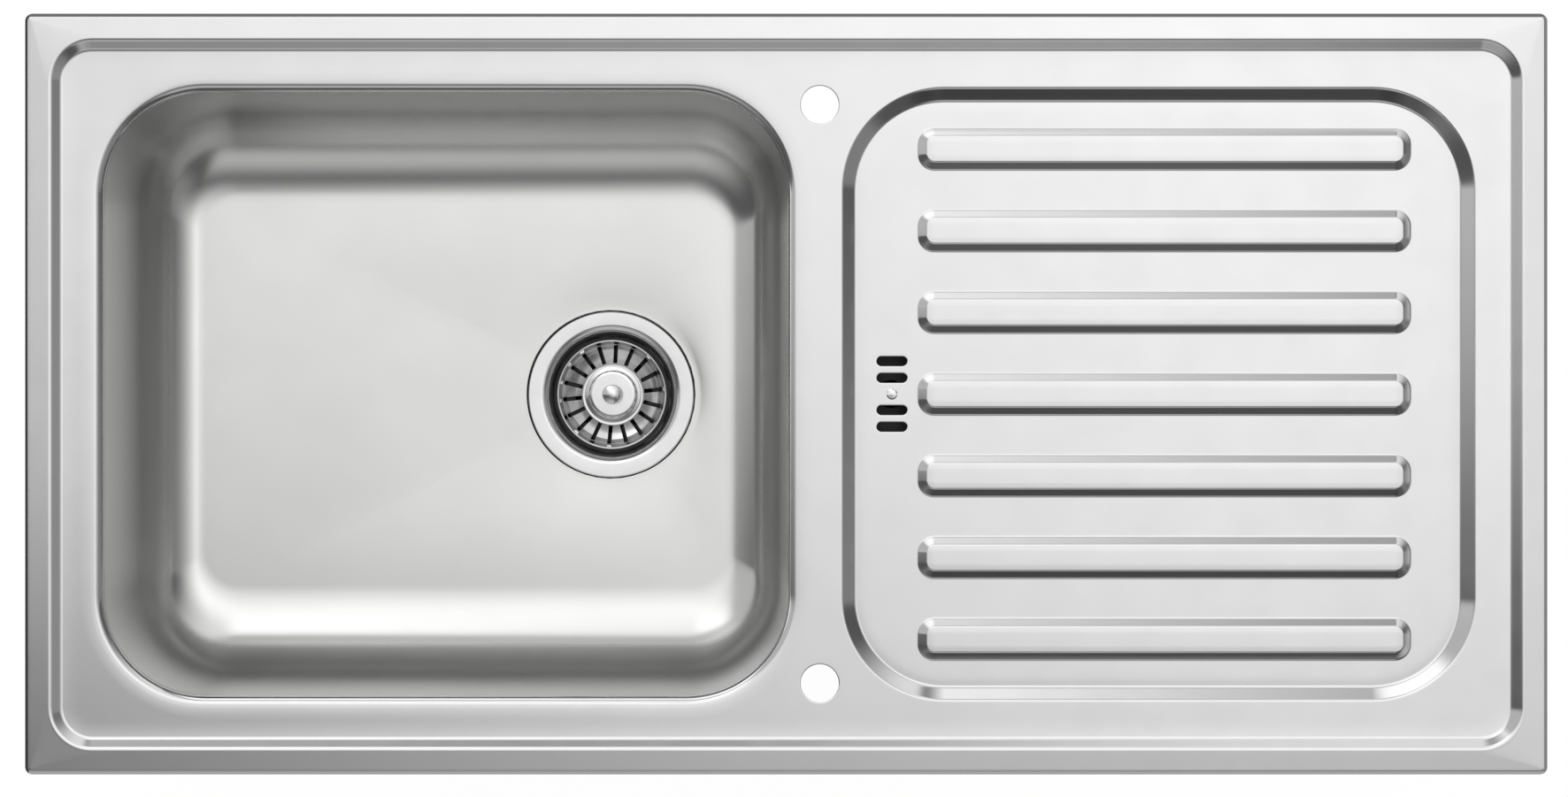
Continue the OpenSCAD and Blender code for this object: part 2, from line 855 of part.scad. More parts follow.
// Hub of the waste body on four ribs, round its brass insert
module body_hub() {
    arm = body_in_r - body_wall / 2;
    difference() {
        union() {
            translate([0, 0, hub_top - hub_h])
                cylinder(r = hub_r, h = hub_h);
            intersection() {
                for (a = [0, 90]) {
                    rotate(a)
                        translate([0, 0, hub_top - hub_h / 2 - 2])
                            cube([2 * arm, hub_arm_t, hub_h - 6], center = true);
                }
                rotate_extrude()
                    polygon([
                        [0, 0], [body_in_r + 1, 0], [body_in_r + 1, 4 - cup_h],
                        [body_in_r - 2.5, cone_top], [outlet_r - 2.4, cone_end + 2], [0, cone_end + 2]
                    ]);
            }
        }
        translate([0, 0, hub_top - hub_h - cut])
            cylinder(r = bolt_r + thread_gap, h = hub_h + 2 * cut);
        translate([0, 0, hub_top - insert_drop - insert_h])
            cylinder(r = insert_r, h = insert_h, $fn = 6);
    }
}

module body_insert() {
    color(brass)
        at_drain()
            translate([0, 0, hub_top - insert_drop - insert_h])
                difference() {
                    cylinder(r = insert_r, h = insert_h, $fn = 6);
                    translate([0, 0, -cut])
                        cylinder(r = bolt_r + insert_play, h = insert_h + 2 * cut);
                }
}

module centre_bolt() {
    color(bright_steel)
        at_drain()
            difference() {
                union() {
                    translate([0, 0, bolt_end])
                        cylinder(r = bolt_r, h = -cup_h - bolt_end);
                    translate([0, 0, -cup_h])
                        cylinder(r = bolt_head_r, h = bolt_head_h);
                }
                translate([0, 0, spindle_end - 3])
                    cylinder(r = spindle_r + spindle_gap, h = bolt_head_h - cup_h - spindle_end + 3 + cut);
                translate([0, 0, bolt_head_h - cup_h])
                    cube([2 * (bolt_head_r + cut), bolt_slot_w, 2 * bolt_slot_h], center = true);
            }
}

module basket() {
    wall_r = basket_r - basket_lean;
    line = [
        [basket_r, basket_top - lip_drop],
        each turned_edge(basket_r, basket_top, basket_roll, 180),
        each turned_edge(wall_r, basket_floor, -basket_fillet, 90),
        [spindle_r, basket_floor]
    ];
    color(bright_steel)
        at_drain()
            difference() {
                rotate_extrude()
                    polygon(sheet(line, basket_t));
                for (k = [0:basket_slots - 1]) {
                    rotate(slot_turn + k * 360 / basket_slots)
                        translate([slot_in, -basket_slot_w / 2, basket_floor - basket_t - cut])
                            cube([slot_out - slot_in, basket_slot_w, slot_h]);
                }
            }
}

module basket_seal() {
    top = basket_top - basket_roll;
    low = basket_top - lip_drop;
    reach = cone_r + (top - cone_z) * (throat_r - cone_r) / (throat_z - cone_z) - bseal_gap;
    color(black_rubber)
        at_drain()
            rotate_extrude()
                polygon([
                    [basket_r, top], [reach - bseal_round, top], [reach, top - bseal_round],
                    [reach - bseal_round, low - bseal_lip], [basket_r, low - 1.5 * bseal_lip],
                    [basket_r - bseal_lip, low - 1.5 * bseal_lip],
                    [basket_r - bseal_lip, low], [basket_r, low]
                ]);
}

module basket_cap() {
    color(bright_steel)
        at_drain()
            rotate_extrude()
                polygon([
                    [spindle_r, basket_floor], [cap_r, basket_floor],
                    [cap_r, basket_floor + cap_edge], [cap_r - cap_bevel, cap_top - 2 * cap_edge],
                    [cap_r - cap_bevel - 0.5, cap_top - cap_edge],
                    [spindle_r + cap_dish, cap_top], [spindle_r, cap_top]
                ]);
}

module basket_knob() {
    color(bright_steel)
        at_drain()
            rotate_extrude()
                polygon([
                    [0, spindle_end], [spindle_r - spindle_point, spindle_end],
                    [spindle_r, spindle_end + spindle_point], [spindle_r, cap_top],
                    [spindle_r + 1.5 * knob_neck, cap_top],
                    [spindle_r + knob_neck, knob_top - knob_h - knob_round],
                    [knob_r - knob_neck, knob_top - knob_h], [knob_r, knob_top - knob_h + knob_neck],
                    each turned_edge(knob_r, knob_top, knob_round, 90),
                    [0, knob_top]
                ]);
}

module basket_nut() {
    color(zinc)
        at_drain()
            translate([0, 0, basket_floor - basket_t - nut_h])
                difference() {
                    cylinder(r = spindle_r + nut_wall_b, h = nut_h, $fn = 6);
                    translate([0, 0, -cut])
                        cylinder(r = spindle_r, h = nut_h + 2 * cut);
                }
}

module at_overflow() {
    translate([slot_x, 0, tray_z])
        children();
}

module overflow_gasket() {
    color(black_rubber)
        at_overflow()
            translate([0, 0, head_top])
                linear_extrude(ogasket_t)
                    difference() {
                        rounded(chamber_w + 2 * head_lip, chamber_l + 2 * head_lip, head_corner_r + 1.5);
                        rounded(chamber_w + 1, chamber_l + 1, head_corner_r - 2);
                    }
}

module overflow_head() {
    color(black_plastic)
        at_overflow() {
            difference() {
                union() {
                    translate([0, 0, head_top - head_flange_t])
                        linear_extrude(head_flange_t)
                            rounded(chamber_w + 2 * head_lip, chamber_l + 2 * head_lip,
                                    head_corner_r + 1.5);
                    translate([0, 0, head_bottom])
                        linear_extrude(chamber_h)
                            rounded(chamber_w + 2 * mould_t, chamber_l + 2 * mould_t, head_corner_r);
                    translate([0, 0, spigot_end])
                        cylinder(r = thread_r, h = spigot_l + cut);
                }
                translate([0, 0, head_bottom + mould_t])
                    linear_extrude(chamber_h + cut)
                        rounded(chamber_w, chamber_l, head_corner_r - mould_t);
                translate([0, 0, spigot_end - cut])
                    cylinder(r = spigot_bore_r, h = spigot_l + mould_t + 2 * cut);
                translate([0, 0, spigot_end - cut])
                    cylinder(r = socket_r, h = socket_l + cut);
            }
            overflow_web();
        }
}

// Web across the chamber, with the boss that takes the screw
module overflow_web() {
    difference() {
        union() {
            translate([-chamber_w / 2 - 1, -web_t / 2, head_top - boss_h])
                cube([chamber_w + 2, web_t, boss_h]);
            translate([0, 0, head_top - boss_h])
                cylinder(r = boss_r, h = boss_h);
        }
        translate([0, 0, head_top - boss_h - cut])
            cylinder(r = oscrew_r + thread_gap, h = boss_h + 2 * cut);
        translate([0, 0, head_top - oinsert_drop - oinsert_h])
            cylinder(r = oinsert_r, h = oinsert_h);
    }
}

module overflow_insert() {
    color(brass)
        at_overflow()
            translate([0, 0, head_top - oinsert_drop - oinsert_h])
                ring(oinsert_r, oscrew_r + insert_play, oinsert_h);
}

module overflow_screw() {
    color(bright_steel)
        at_overflow()
            difference() {
                union() {
                    translate([0, 0, -oscrew_l])
                        cylinder(r = oscrew_r, h = oscrew_l + oscrew_head_h / 2);
                    rotate_extrude()
                        polygon([
                            [0, 0], [oscrew_head_r, 0], [oscrew_head_r, oscrew_head_h / 2],
                            [oscrew_head_r - 0.8, 0.85 * oscrew_head_h], [0, oscrew_head_h]
                        ]);
                }
                translate([0, 0, oscrew_head_h])
                    cube([2 * (oscrew_head_r + cut), oscrew_slot_w, 2 * oscrew_slot_h], center = true);
            }
}

// Point, direction and radius along the hose
function hose_point(s) =
    s < hose_down ? [hose_top[0], hose_top[1] - s]
    : s < hose_down + hose_arc ?
        let (a = (s - hose_down) / hose_bend_r * 180 / PI)
        [hose_top[0] - hose_bend_r * (1 - cos(a)), hose_top[1] - hose_down - hose_bend_r * sin(a)]
    : [hose_end[0] + hose_total - s, hose_end[1]];
function hose_turn(s) = max(0, min(90, (s - hose_down) / hose_bend_r * 180 / PI));
function hose_ring(s, r) =
    [for (k = [0:hose_sides - 1])
        let (
            a = (k + 0.5) * 360 / hose_sides,
            p = hose_point(s),
            t = hose_turn(s)
        )
        [p[0] + r * cos(a) * cos(t), r * sin(a), p[1] - r * cos(a) * sin(t)]];

module overflow_hose() {
    outside = [
        [0, hose_r],
        [hose_slack - hose_rib_pitch / 2, hose_r],
        for (i = [0:hose_ribs - 1])
            each [[hose_slack + i * hose_rib_pitch, hose_r - 0.2],
                  [hose_slack + (i + 0.5) * hose_rib_pitch, hose_r + hose_rib_h]],
        [hose_total - hose_slack, hose_r - 0.2],
        [hose_total - hose_slack + hose_rib_pitch / 2, hose_r],
        [hose_total, hose_r]
    ];
    bend = [for (i = [0:bore_steps]) hose_down + hose_arc * i / bore_steps];
    inside = [hose_total, for (i = [bore_steps:-1:0]) bend[i], 0];
    rings = [
        for (q = outside) hose_ring(q[0], q[1]),
        for (s = inside) hose_ring(s, hose_bore_r)
    ];
    count = len(rings);
    color(grey_plastic)
        polyhedron(
            points = [for (q = rings) each q],
            faces = [
                for (i = [0:count - 1])
                    for (k = [0:hose_sides - 1])
                        let (
                            j = (i + 1) % count,
                            m = (k + 1) % hose_sides,
                            a = i * hose_sides + k,
                            b = i * hose_sides + m,
                            c = j * hose_sides + m,
                            d = j * hose_sides + k
                        )
                        each [[a, b, c], [a, c, d]]
            ]
        );
}

// Union nut: z = 0 is the end of the spigot, and the hose leaves along +Z
module hose_nut() {
    r = thread_r + thread_gap;
    outside = [
        [r, -nut_skirt], [r + nut_wall, -nut_skirt], [r + nut_wall, nut_nose - 4],
        [hose_r + 3.5, nut_nose], [hose_r + 0.8, nut_nose], [hose_r + 0.8, washer_l + 0.4],
        [hose_r + 1.6, washer_l + 0.4], [r, 2.2]
    ];
    rotate_extrude()
        polygon(outside);
    for (k = [0:nut_lugs - 1]) {
        rotate((k + 0.5) * 360 / nut_lugs)
            translate([r + nut_wall, 0, 0.5 - nut_skirt])
                cylinder(r = nut_lug_r, h = nut_skirt + nut_nose - 5);
    }
}

module hose_washer() {
    rotate_extrude()
        polygon([
            [hose_r + 0.2, 0.2], [thread_r, 0.2], [thread_r, 2], [hose_r + 1.4, washer_l],
            [hose_r + 0.2, washer_l]
        ]);
}

module at_upper_nut() {
    translate([slot_x, 0, tray_z + spigot_end])
        rotate([180, 0, 0])
            children();
}

module at_lower_nut() {
    translate([drain_x + inlet_end, 0, floor_z + inlet_z])
        rotate([0, 90, 0])
            children();
}

module hose_nut_upper() {
    color(black_plastic)
        at_upper_nut()
            hose_nut();
}

module hose_nut_lower() {
    color(black_plastic)
        at_lower_nut()
            hose_nut();
}

module hose_washers() {
    color(black_rubber) {
        at_upper_nut()
            hose_washer();
        at_lower_nut()
            hose_washer();
    }
}

sink_deck();
bowl();
rim_seal();
bowl_floor_pad();
bowl_side_pads();
drainer_pads();
clip_anchors();
clip_screws();
clip_claw(1);  // clip_claw_1
clip_claw(2);  // clip_claw_2
clip_claw(3);  // clip_claw_3
clip_claw(4);  // clip_claw_4
clip_claw(5);  // clip_claw_5
clip_claw(6);  // clip_claw_6
clip_claw(7);  // clip_claw_7
clip_claw(8);  // clip_claw_8
waste_flange();
flange_seal();
lower_gasket();
waste_body();
body_insert();
centre_bolt();
basket();
basket_seal();
basket_cap();
basket_knob();
basket_nut();
overflow_head();
overflow_gasket();
overflow_screw();
overflow_insert();
overflow_hose();
hose_nut_upper();
hose_nut_lower();
hose_washers();
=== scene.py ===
"""Looks of an inset kitchen sink: steel, rubber and plastic, threads and seams, and a plain studio."""

from __future__ import annotations

import logging
import math
from dataclasses import dataclass, replace
from enum import Enum

import bmesh
import bpy
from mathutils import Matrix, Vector


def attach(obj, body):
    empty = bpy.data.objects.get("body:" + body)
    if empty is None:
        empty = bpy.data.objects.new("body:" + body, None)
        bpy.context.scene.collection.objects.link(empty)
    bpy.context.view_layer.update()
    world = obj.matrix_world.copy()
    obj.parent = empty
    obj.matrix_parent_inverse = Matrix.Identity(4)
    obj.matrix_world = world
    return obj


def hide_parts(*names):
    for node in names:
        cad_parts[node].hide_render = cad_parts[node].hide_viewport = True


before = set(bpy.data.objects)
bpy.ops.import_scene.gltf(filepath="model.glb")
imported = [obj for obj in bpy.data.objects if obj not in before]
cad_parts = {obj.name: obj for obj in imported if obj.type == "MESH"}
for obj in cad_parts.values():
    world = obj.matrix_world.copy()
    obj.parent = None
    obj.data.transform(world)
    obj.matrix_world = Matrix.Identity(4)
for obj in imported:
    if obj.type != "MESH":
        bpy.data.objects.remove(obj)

log = logging.getLogger("sink")

MM = 0.001
SINK = "sink"
STRAINER = "strainer"

# Edges that turn by more than this are cut or folded sharp, and the rest are rounded bends.
SHARP_DEG = 32

# Points nearer than this are one point, in metres: between a solid's faces, and in a plan.
WELD_REACH = 1e-6
SAME_POINT = 1e-8

# How much rougher a sheet gets where a deep draw has stretched it most, and the darker colour painted there
# as shade.
STRAIN_ROUGHNESS = 0.18
PAINTED_WALL_SHADE = "#d6d6d5"

WHITE = "#ffffff"

# Colour of the shade painted in the waste's cup below the strainer, and the height in millimetres over which
# it fades out.
CUP_PAINTED_SHADE = "#2b2b2b"
CUP_SHADE_FADE = 5

# Levels of the noise between which a finish goes from its glossiest to its dullest.
MOTTLE_LEVELS = (0.3, 0.7)

# Scale of the fine noise in x, y and z: drawn out along the sheet as lines of rolling, or the same all round.
ROLLED = (0.08, 1.0, 1.0)
EVEN = (1.0, 1.0, 1.0)

# Sizes that more than one piece shares, in millimetres: the upright axis of the waste, the sheet of deck and
# bowl, the height of the seam between them, and the height of the bowl's floor.
WASTE_AXIS = (-122.5, 0.0)
SHEET = 0.8
SEAM_Z = -7
FLOOR_Z = -163

Tree = bpy.types.NodeTree
Socket = bpy.types.NodeSocket
Colour = tuple[float, float, float, float]
Line = list[tuple[float, float]]
Ring = list[bmesh.types.BMVert]


class Grain(Enum):
    """Way in which a finish's fine lines run."""

    ROLLED = "along the sheet"
    TURNED = "in rings round an upright axis"
    NONE = "no lines"


def linear(hex_colour: str) -> Colour:
    """Turns an sRGB hex colour into linear colour.

    Args:
        hex_colour: colour such as "#c9cbcc".

    Returns:
        Linear red, green, blue and an alpha of 1.
    """
    parts = [int(hex_colour[i : i + 2], 16) / 255 for i in (1, 3, 5)]
    r, g, b = (c / 12.92 if c <= 0.04045 else ((c + 0.055) / 1.055) ** 2.4 for c in parts)
    return r, g, b, 1.0


def add(tree: Tree, kind: str, inputs: dict | None = None, **settings: object) -> bpy.types.Node:
    """Adds one shader node with its settings and links.

    Args:
        tree: node tree that the node joins.
        kind: node type, such as "ShaderNodeBump".
        inputs: each input's name or number, with a value or the socket that feeds it.
        settings: properties of the node itself.

    Returns:
        The new node.
    """
    made = tree.nodes.new(kind)
    for name, value in settings.items():
        setattr(made, name, value)
    for key, value in (inputs or {}).items():
        if isinstance(value, Socket):
            tree.links.new(value, made.inputs[key])
        else:
            made.inputs[key].default_value = value
    return made


@dataclass(frozen=True)
class Finish:
    """A material and how its surface was made."""

    name: str
    colour: str
    shade: str
    metallic: float
    roughness: float
    mottle_mm: float
    grain_mm: float
    relief_mm: float
    grain: Grain = Grain.NONE
    gloss_spread: float = 0.05
    painted_shade_below_mm: float | None = None
    strain_and_shade_mm: tuple[float, float] | None = None

    def material(self) -> bpy.types.Material:
        """Builds the finish, or finds it if it is there already.

        Returns:
            The material with its nodes.
        """
        found = bpy.data.materials.get(self.name)
        if found:
            return found
        made = bpy.data.materials.new(self.name)
        made.use_nodes = True
        tree = made.node_tree
        shader = tree.nodes["Principled BSDF"]
        shader.inputs["Metallic"].default_value = self.metallic
        place = add(tree, "ShaderNodeTexCoord").outputs["Object"]
        mottle = add(
            tree,
            "ShaderNodeTexNoise",
            {"Vector": place, "Scale": 1 / (self.mottle_mm * MM), "Detail": 3.0, "Roughness": 0.55},
        ).outputs["Fac"]
        rough = add(
            tree,
            "ShaderNodeMapRange",
            {
                "Value": mottle,
                "From Min": MOTTLE_LEVELS[0],
                "From Max": MOTTLE_LEVELS[1],
                "To Min": self.roughness - self.gloss_spread / 2,
                "To Max": self.roughness + self.gloss_spread / 2,
            },
        ).outputs["Result"]
        washes: list[dict] = [{"Factor": mottle, "A": linear(self.colour), "B": linear(self.shade)}]
        # Painted shade: the waste's cup goes dark below the strainer.
        if self.painted_shade_below_mm is not None:
            clear = self.rise(tree, place, self.painted_shade_below_mm - CUP_SHADE_FADE, self.painted_shade_below_mm)
            washes.append({"Factor": clear, "A": linear(CUP_PAINTED_SHADE)})
        # Painted shade: the bowl's walls get a slightly darker colour, besides their real added roughness.
        if self.strain_and_shade_mm is not None:
            strain_and_shade = self.rise(tree, place, *self.strain_and_shade_mm)
            washes.append({"Factor": strain_and_shade, "B": linear(PAINTED_WALL_SHADE)})
            dulled = {0: strain_and_shade, 1: STRAIN_ROUGHNESS, 2: rough}
            rough = add(tree, "ShaderNodeMath", dulled, operation="MULTIPLY_ADD").outputs[0]
        tone: Socket | None = None
        for wash in washes:
            tone = add(tree, "ShaderNodeMix", {"A": tone, "B": tone, **wash}, data_type="RGBA").outputs[2]
        tree.links.new(tone, shader.inputs["Base Color"])
        tree.links.new(rough, shader.inputs["Roughness"])
        lines = self.lines(tree, place)
        bump = add(
            tree,
            "ShaderNodeBump",
            {"Height": lines, "Distance": self.relief_mm * MM, "Strength": 1.0},
        )
        tree.links.new(bump.outputs["Normal"], shader.inputs["Normal"])
        return made

    def rise(self, tree: Tree, place: Socket, low: float, high: float) -> Socket:
        """Makes a share that grows from 0 at one height to 1 at another.

        Args:
            tree: node tree of the material.
            place: point on the piece, in metres.
            low: height of the 0, in millimetres.
            high: height of the 1, in millimetres.

        Returns:
            The socket that carries the share.
        """
        height = add(tree, "ShaderNodeSeparateXYZ", {"Vector": place}).outputs["Z"]
        reach = {"Value": height, "From Min": low * MM, "From Max": high * MM}
        return add(tree, "ShaderNodeMapRange", reach).outputs["Result"]

    def lines(self, tree: Tree, place: Socket) -> Socket:
        """Makes the height of the fine surface lines or pits.

        Args:
            tree: node tree of the material.
            place: point on the piece, in metres.

        Returns:
            The socket that carries the height.
        """
        if self.grain is Grain.TURNED:
            arm = place
            centre = (WASTE_AXIS[0] * MM, WASTE_AXIS[1] * MM, 0)
            for operation, by in (("SUBTRACT", centre), ("MULTIPLY", (1, 1, 0))):
                arm = add(tree, "ShaderNodeVectorMath", {0: arm, 1: by}, operation=operation).outputs[0]
            reach = add(tree, "ShaderNodeVectorMath", {0: arm}, operation="LENGTH").outputs["Value"]
            scaled = add(tree, "ShaderNodeCombineXYZ", {"X": reach}).outputs[0]
        else:
            stretch = ROLLED if self.grain is Grain.ROLLED else EVEN
            scaled = add(tree, "ShaderNodeMapping", {"Vector": place, "Scale": stretch}).outputs["Vector"]
        return add(
            tree,
            "ShaderNodeTexNoise",
            {"Vector": scaled, "Scale": 1 / (self.grain_mm * MM), "Detail": 2.0},
        ).outputs["Fac"]


# Lines of rolling, turning and grinding are far finer than half a millimetre on the real pieces and wouldn't
# show, so each finish draws them just coarse enough to show.

# Cold-rolled austenitic steel, pressed and left satin: a soft grey mirror with faint lines along the sheet.
SATIN_STEEL = Finish(
    name="stainless_steel_cold_rolled_satin",
    colour="#d6d6d6",
    shade="#d2d2d2",
    metallic=1.0,
    roughness=0.15,
    mottle_mm=32,
    grain_mm=0.8,
    relief_mm=0.0012,
    grain=Grain.ROLLED,
    gloss_spread=0.03,
)

# The same steel after a deep draw: the stretch roughens it, so the bowl blurs what it mirrors.
# Above the lowest part of its fillets the bowl is rougher still, and a painted shade darkens its colour a
# little.
DRAWN_STEEL = Finish(
    name="stainless_steel_deep_drawn",
    colour="#d8d8d7",
    shade="#d4d4d3",
    metallic=1.0,
    roughness=0.17,
    mottle_mm=60,
    grain_mm=1.4,
    relief_mm=0.0004,
    gloss_spread=0.03,
    strain_and_shade_mm=(-157, -147),
)

# The same steel pressed thin and buffed bright: tighter reflections than the bowl round it.
BRIGHT_STEEL = Finish(
    name="stainless_steel_pressed_buffed",
    colour="#e0e0e0",
    shade="#dadada",
    metallic=1.0,
    roughness=0.16,
    mottle_mm=14,
    grain_mm=0.5,
    relief_mm=0.0012,
    grain=Grain.TURNED,
)

# The cup of the waste: bright where it shows, and darker below the strainer, where shade is painted into its
# colour.
CUP_STEEL = replace(BRIGHT_STEEL, name="stainless_steel_cup_painted_shade", painted_shade_below_mm=-181)

# The welded seam under the lip, ground back: dull, with a trace of straw tint from the heat.
WELD = Finish(
    name="stainless_steel_weld_ground",
    colour="#b9b3a6",
    shade="#a39c90",
    metallic=1.0,
    roughness=0.34,
    mottle_mm=5,
    grain_mm=0.6,
    relief_mm=0.03,
    gloss_spread=0.1,
)

# Mild steel, zinc plated and passivated: greyer and duller than the sink, with a faint cloudy tint.
ZINC_STEEL = Finish(
    name="mild_steel_zinc_plated",
    colour="#b4b7bb",
    shade="#9da0a3",
    metallic=1.0,
    roughness=0.36,
    mottle_mm=6,
    grain_mm=0.4,
    relief_mm=0.004,
    gloss_spread=0.12,
)

# Free-machining brass, turned: warm yellow with a dull shine.
BRASS = Finish(
    name="brass_turned",
    colour="#c9a552",
    shade="#b8913f",
    metallic=1.0,
    roughness=0.28,
    mottle_mm=4,
    grain_mm=0.3,
    relief_mm=0.004,
)

# Nitrile rubber, moulded: near black with a soft, low sheen.
RUBBER = Finish(
    name="nitrile_rubber_moulded",
    colour="#1a1a1b",
    shade="#242425",
    metallic=0.0,
    roughness=0.55,
    mottle_mm=8,
    grain_mm=0.5,
    relief_mm=0.01,
    gloss_spread=0.15,
)

# Polypropylene, injection moulded in a spark-eroded tool: black with a fine matt grain.
BLACK_PLASTIC = Finish(
    name="polypropylene_moulded_black",
    colour="#202124",
    shade="#2a2b2e",
    metallic=0.0,
    roughness=0.42,
    mottle_mm=18,
    grain_mm=0.6,
    relief_mm=0.012,
    gloss_spread=0.1,
)

# Soft polyethylene, blow moulded in rings: mid grey and slightly waxy.
HOSE_PLASTIC = Finish(
    name="polyethylene_blown_grey",
    colour="#8b8e92",
    shade="#7d8084",
    metallic=0.0,
    roughness=0.38,
    mottle_mm=12,
    grain_mm=1.0,
    relief_mm=0.01,
)

# Closed-cell polyethylene foam tape, cut: dark grey with small open cells.
FOAM = Finish(
    name="polyethylene_foam_cut",
    colour="#46484b",
    shade="#36383a",
    metallic=0.0,
    roughness=0.85,
    mottle_mm=5,
    grain_mm=0.9,
    relief_mm=0.12,
)

# Bitumen filled rubber sheet, die cut: a dull dark grey pad with a slightly pebbled face.
DAMPING = Finish(
    name="bitumen_rubber_die_cut",
    colour="#3a3c3f",
    shade="#2d2f31",
    metallic=0.0,
    roughness=0.7,
    mottle_mm=20,
    grain_mm=1.6,
    relief_mm=0.09,
    gloss_spread=0.1,
)


def crease_group() -> Tree:
    """Builds the geometry nodes that shade bends smooth and keep cut edges sharp.

    Returns:
        The node group, or the one that is there already.
    """
    name = "smooth_bends_keep_cut_edges"
    found = bpy.data.node_groups.get(name)
    if found:
        return found
    tree = bpy.data.node_groups.new(name, "GeometryNodeTree")
    tree.interface.new_socket("Geometry", in_out="INPUT", socket_type="NodeSocketGeometry")
    tree.interface.new_socket("Geometry", in_out="OUTPUT", socket_type="NodeSocketGeometry")
    source = add(tree, "NodeGroupInput").outputs[0]
    angle = add(tree, "GeometryNodeInputMeshEdgeAngle").outputs["Unsigned Angle"]
    limit = math.radians(SHARP_DEG)
    sharp = add(tree, "ShaderNodeMath", {0: angle, 1: limit}, operation="GREATER_THAN").outputs[0]
    soft = add(tree, "GeometryNodeSetShadeSmooth", {"Geometry": source, "Shade Smooth": True}, domain="FACE")
    cut = add(
        tree,
        "GeometryNodeSetShadeSmooth",
        {"Geometry": soft.outputs[0], "Selection": sharp, "Shade Smooth": False},
        domain="EDGE",
    )
    add(tree, "NodeGroupOutput", {0: cut.outputs[0]})
    return tree


def soften(obj: bpy.types.Object) -> None:
    """Shades a piece's rounded bends smooth, with modifiers that leave its mesh as it is.

    Args:
        obj: the piece.
    """
    weld = obj.modifiers.new("weld_face_borders", "WELD")
    weld.merge_threshold = WELD_REACH
    crease = obj.modifiers.new("mark_cut_edges", "NODES")
    crease.node_group = crease_group()
    even = obj.modifiers.new("even_normals", "WEIGHTED_NORMAL")
    even.mode = "FACE_AREA"
    even.keep_sharp = True


def dress(finish: Finish, *nodes: str) -> None:
    """Gives CAD nodes a finish and smooth bends.

    Args:
        finish: the finish that they get.
        nodes: names of the nodes.
    """
    for name in nodes:
        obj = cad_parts[name]
        obj.data.materials.clear()
        obj.data.materials.append(finish.material())
        soften(obj)
        log.info("%s is dressed in %s", name, finish.name)


def rounded(points: Line, radii: list[float], step_deg: float = 7.5) -> Line:
    """Rounds the inner corners of a line with arcs.

    Args:
        points: corners of the line.
        radii: radius at each inner corner.
        step_deg: turn from one point of an arc to the next.

    Returns:
        Points of the rounded line.
    """
    made = [points[0]]
    for i, radius in enumerate(radii, 1):
        here = Vector(points[i])
        back = (here - Vector(points[i - 1])).normalized()
        ahead = (Vector(points[i + 1]) - here).normalized()
        side = math.copysign(1, back.x * ahead.y - back.y * ahead.x)
        angle = math.acos(max(-1.0, min(1.0, back.dot(ahead))))
        start = here - back * radius * math.tan(angle / 2)
        centre = start + Vector((-back.y, back.x)) * radius * side
        arm = start - centre
        count = max(2, round(math.degrees(angle) / step_deg))
        for k in range(count + 1):
            turn = side * angle * k / count
            x = centre.x + arm.x * math.cos(turn) - arm.y * math.sin(turn)
            y = centre.y + arm.x * math.sin(turn) + arm.y * math.cos(turn)
            made.append((x, y))
    made.append(points[-1])
    return made


def drawn_bend(start_deg: float, ramp_in: float, ramp_out: float, count: int) -> Line:
    """Lists a bend that tightens and eases gradually, from near upright to level, in a box of size 1.

    Args:
        start_deg: lean of the wall where the bend starts.
        ramp_in: share of the bend's length over which it tightens.
        ramp_out: share of the bend's length over which it eases.
        count: number of points after the first.

    Returns:
        The points, as shares of the way in and of the way down.
    """
    fine = 40
    steps = count * fine
    places = [(i + 0.5) / steps for i in range(steps)]
    tight = [min(1.0, at / ramp_in, (1 - at) / ramp_out) for at in places]
    whole = sum(tight)
    lean = math.radians(start_deg)
    across, down = 0.0, 0.0
    made = [(0.0, 0.0)]
    for i, share in enumerate(tight, 1):
        lean += math.radians(90 - start_deg) * share / whole
        across += math.sin(lean)
        down += math.cos(lean)
        if i % fine == 0:
            made.append((across, down))
    return [(x / across, y / down) for x, y in made]


@dataclass(frozen=True)
class Plan:
    """A rounded rectangle seen from above, in millimetres."""

    x: float
    y: float
    length: float
    width: float
    radius: float
    steps: int = 14
    least_radius: float = 0.25
    side_steps: int = 1

    def points(self, height: float, inset_x: float, inset_y: float, radius: float) -> list[Vector]:
        """Lists the points of the outline drawn in, anticlockwise from the right.

        Args:
            height: height of the points.
            inset_x: how far the left and right sides move in.
            inset_y: how far the front and rear sides move in.
            radius: radius of the corners there.

        Returns:
            The points, in metres.
        """
        reach_x = self.length / 2 - inset_x - radius
        reach_y = self.width / 2 - inset_y - radius
        made: list[Vector] = []
        for corner, (side_x, side_y) in enumerate(((1, 1), (-1, 1), (-1, -1), (1, -1))):
            for step in range(self.steps + 1):
                turn = math.radians(90 * (corner + step / self.steps))
                x = self.x + side_x * reach_x + radius * math.cos(turn)
                y = self.y + side_y * reach_y + radius * math.sin(turn)
                point = Vector((x, y, height)) * MM
                if step == 0 and made:
                    made += self.between(made[-1], point)
                if not made or (point - made[-1]).length > SAME_POINT:
                    made.append(point)
        if (made[0] - made[-1]).length < SAME_POINT:
            made.pop()
        return made + self.between(made[-1], made[0])

    def between(self, start: Vector, end: Vector) -> list[Vector]:
        """Lists the points that divide a straight side, without its ends."""
        return [start.lerp(end, k / self.side_steps) for k in range(1, self.side_steps)]

    def drawn_in(self, inset: float, height: float) -> list[Vector]:
        """Lists the points of the outline drawn in evenly all round."""
        return self.points(height, inset, inset, max(self.radius - inset, self.least_radius))


def disc(x: float, y: float, radius: float) -> Plan:
    """Makes the plan of a circle."""
    return Plan(x, y, 2 * radius, 2 * radius, radius, steps=18, least_radius=0)


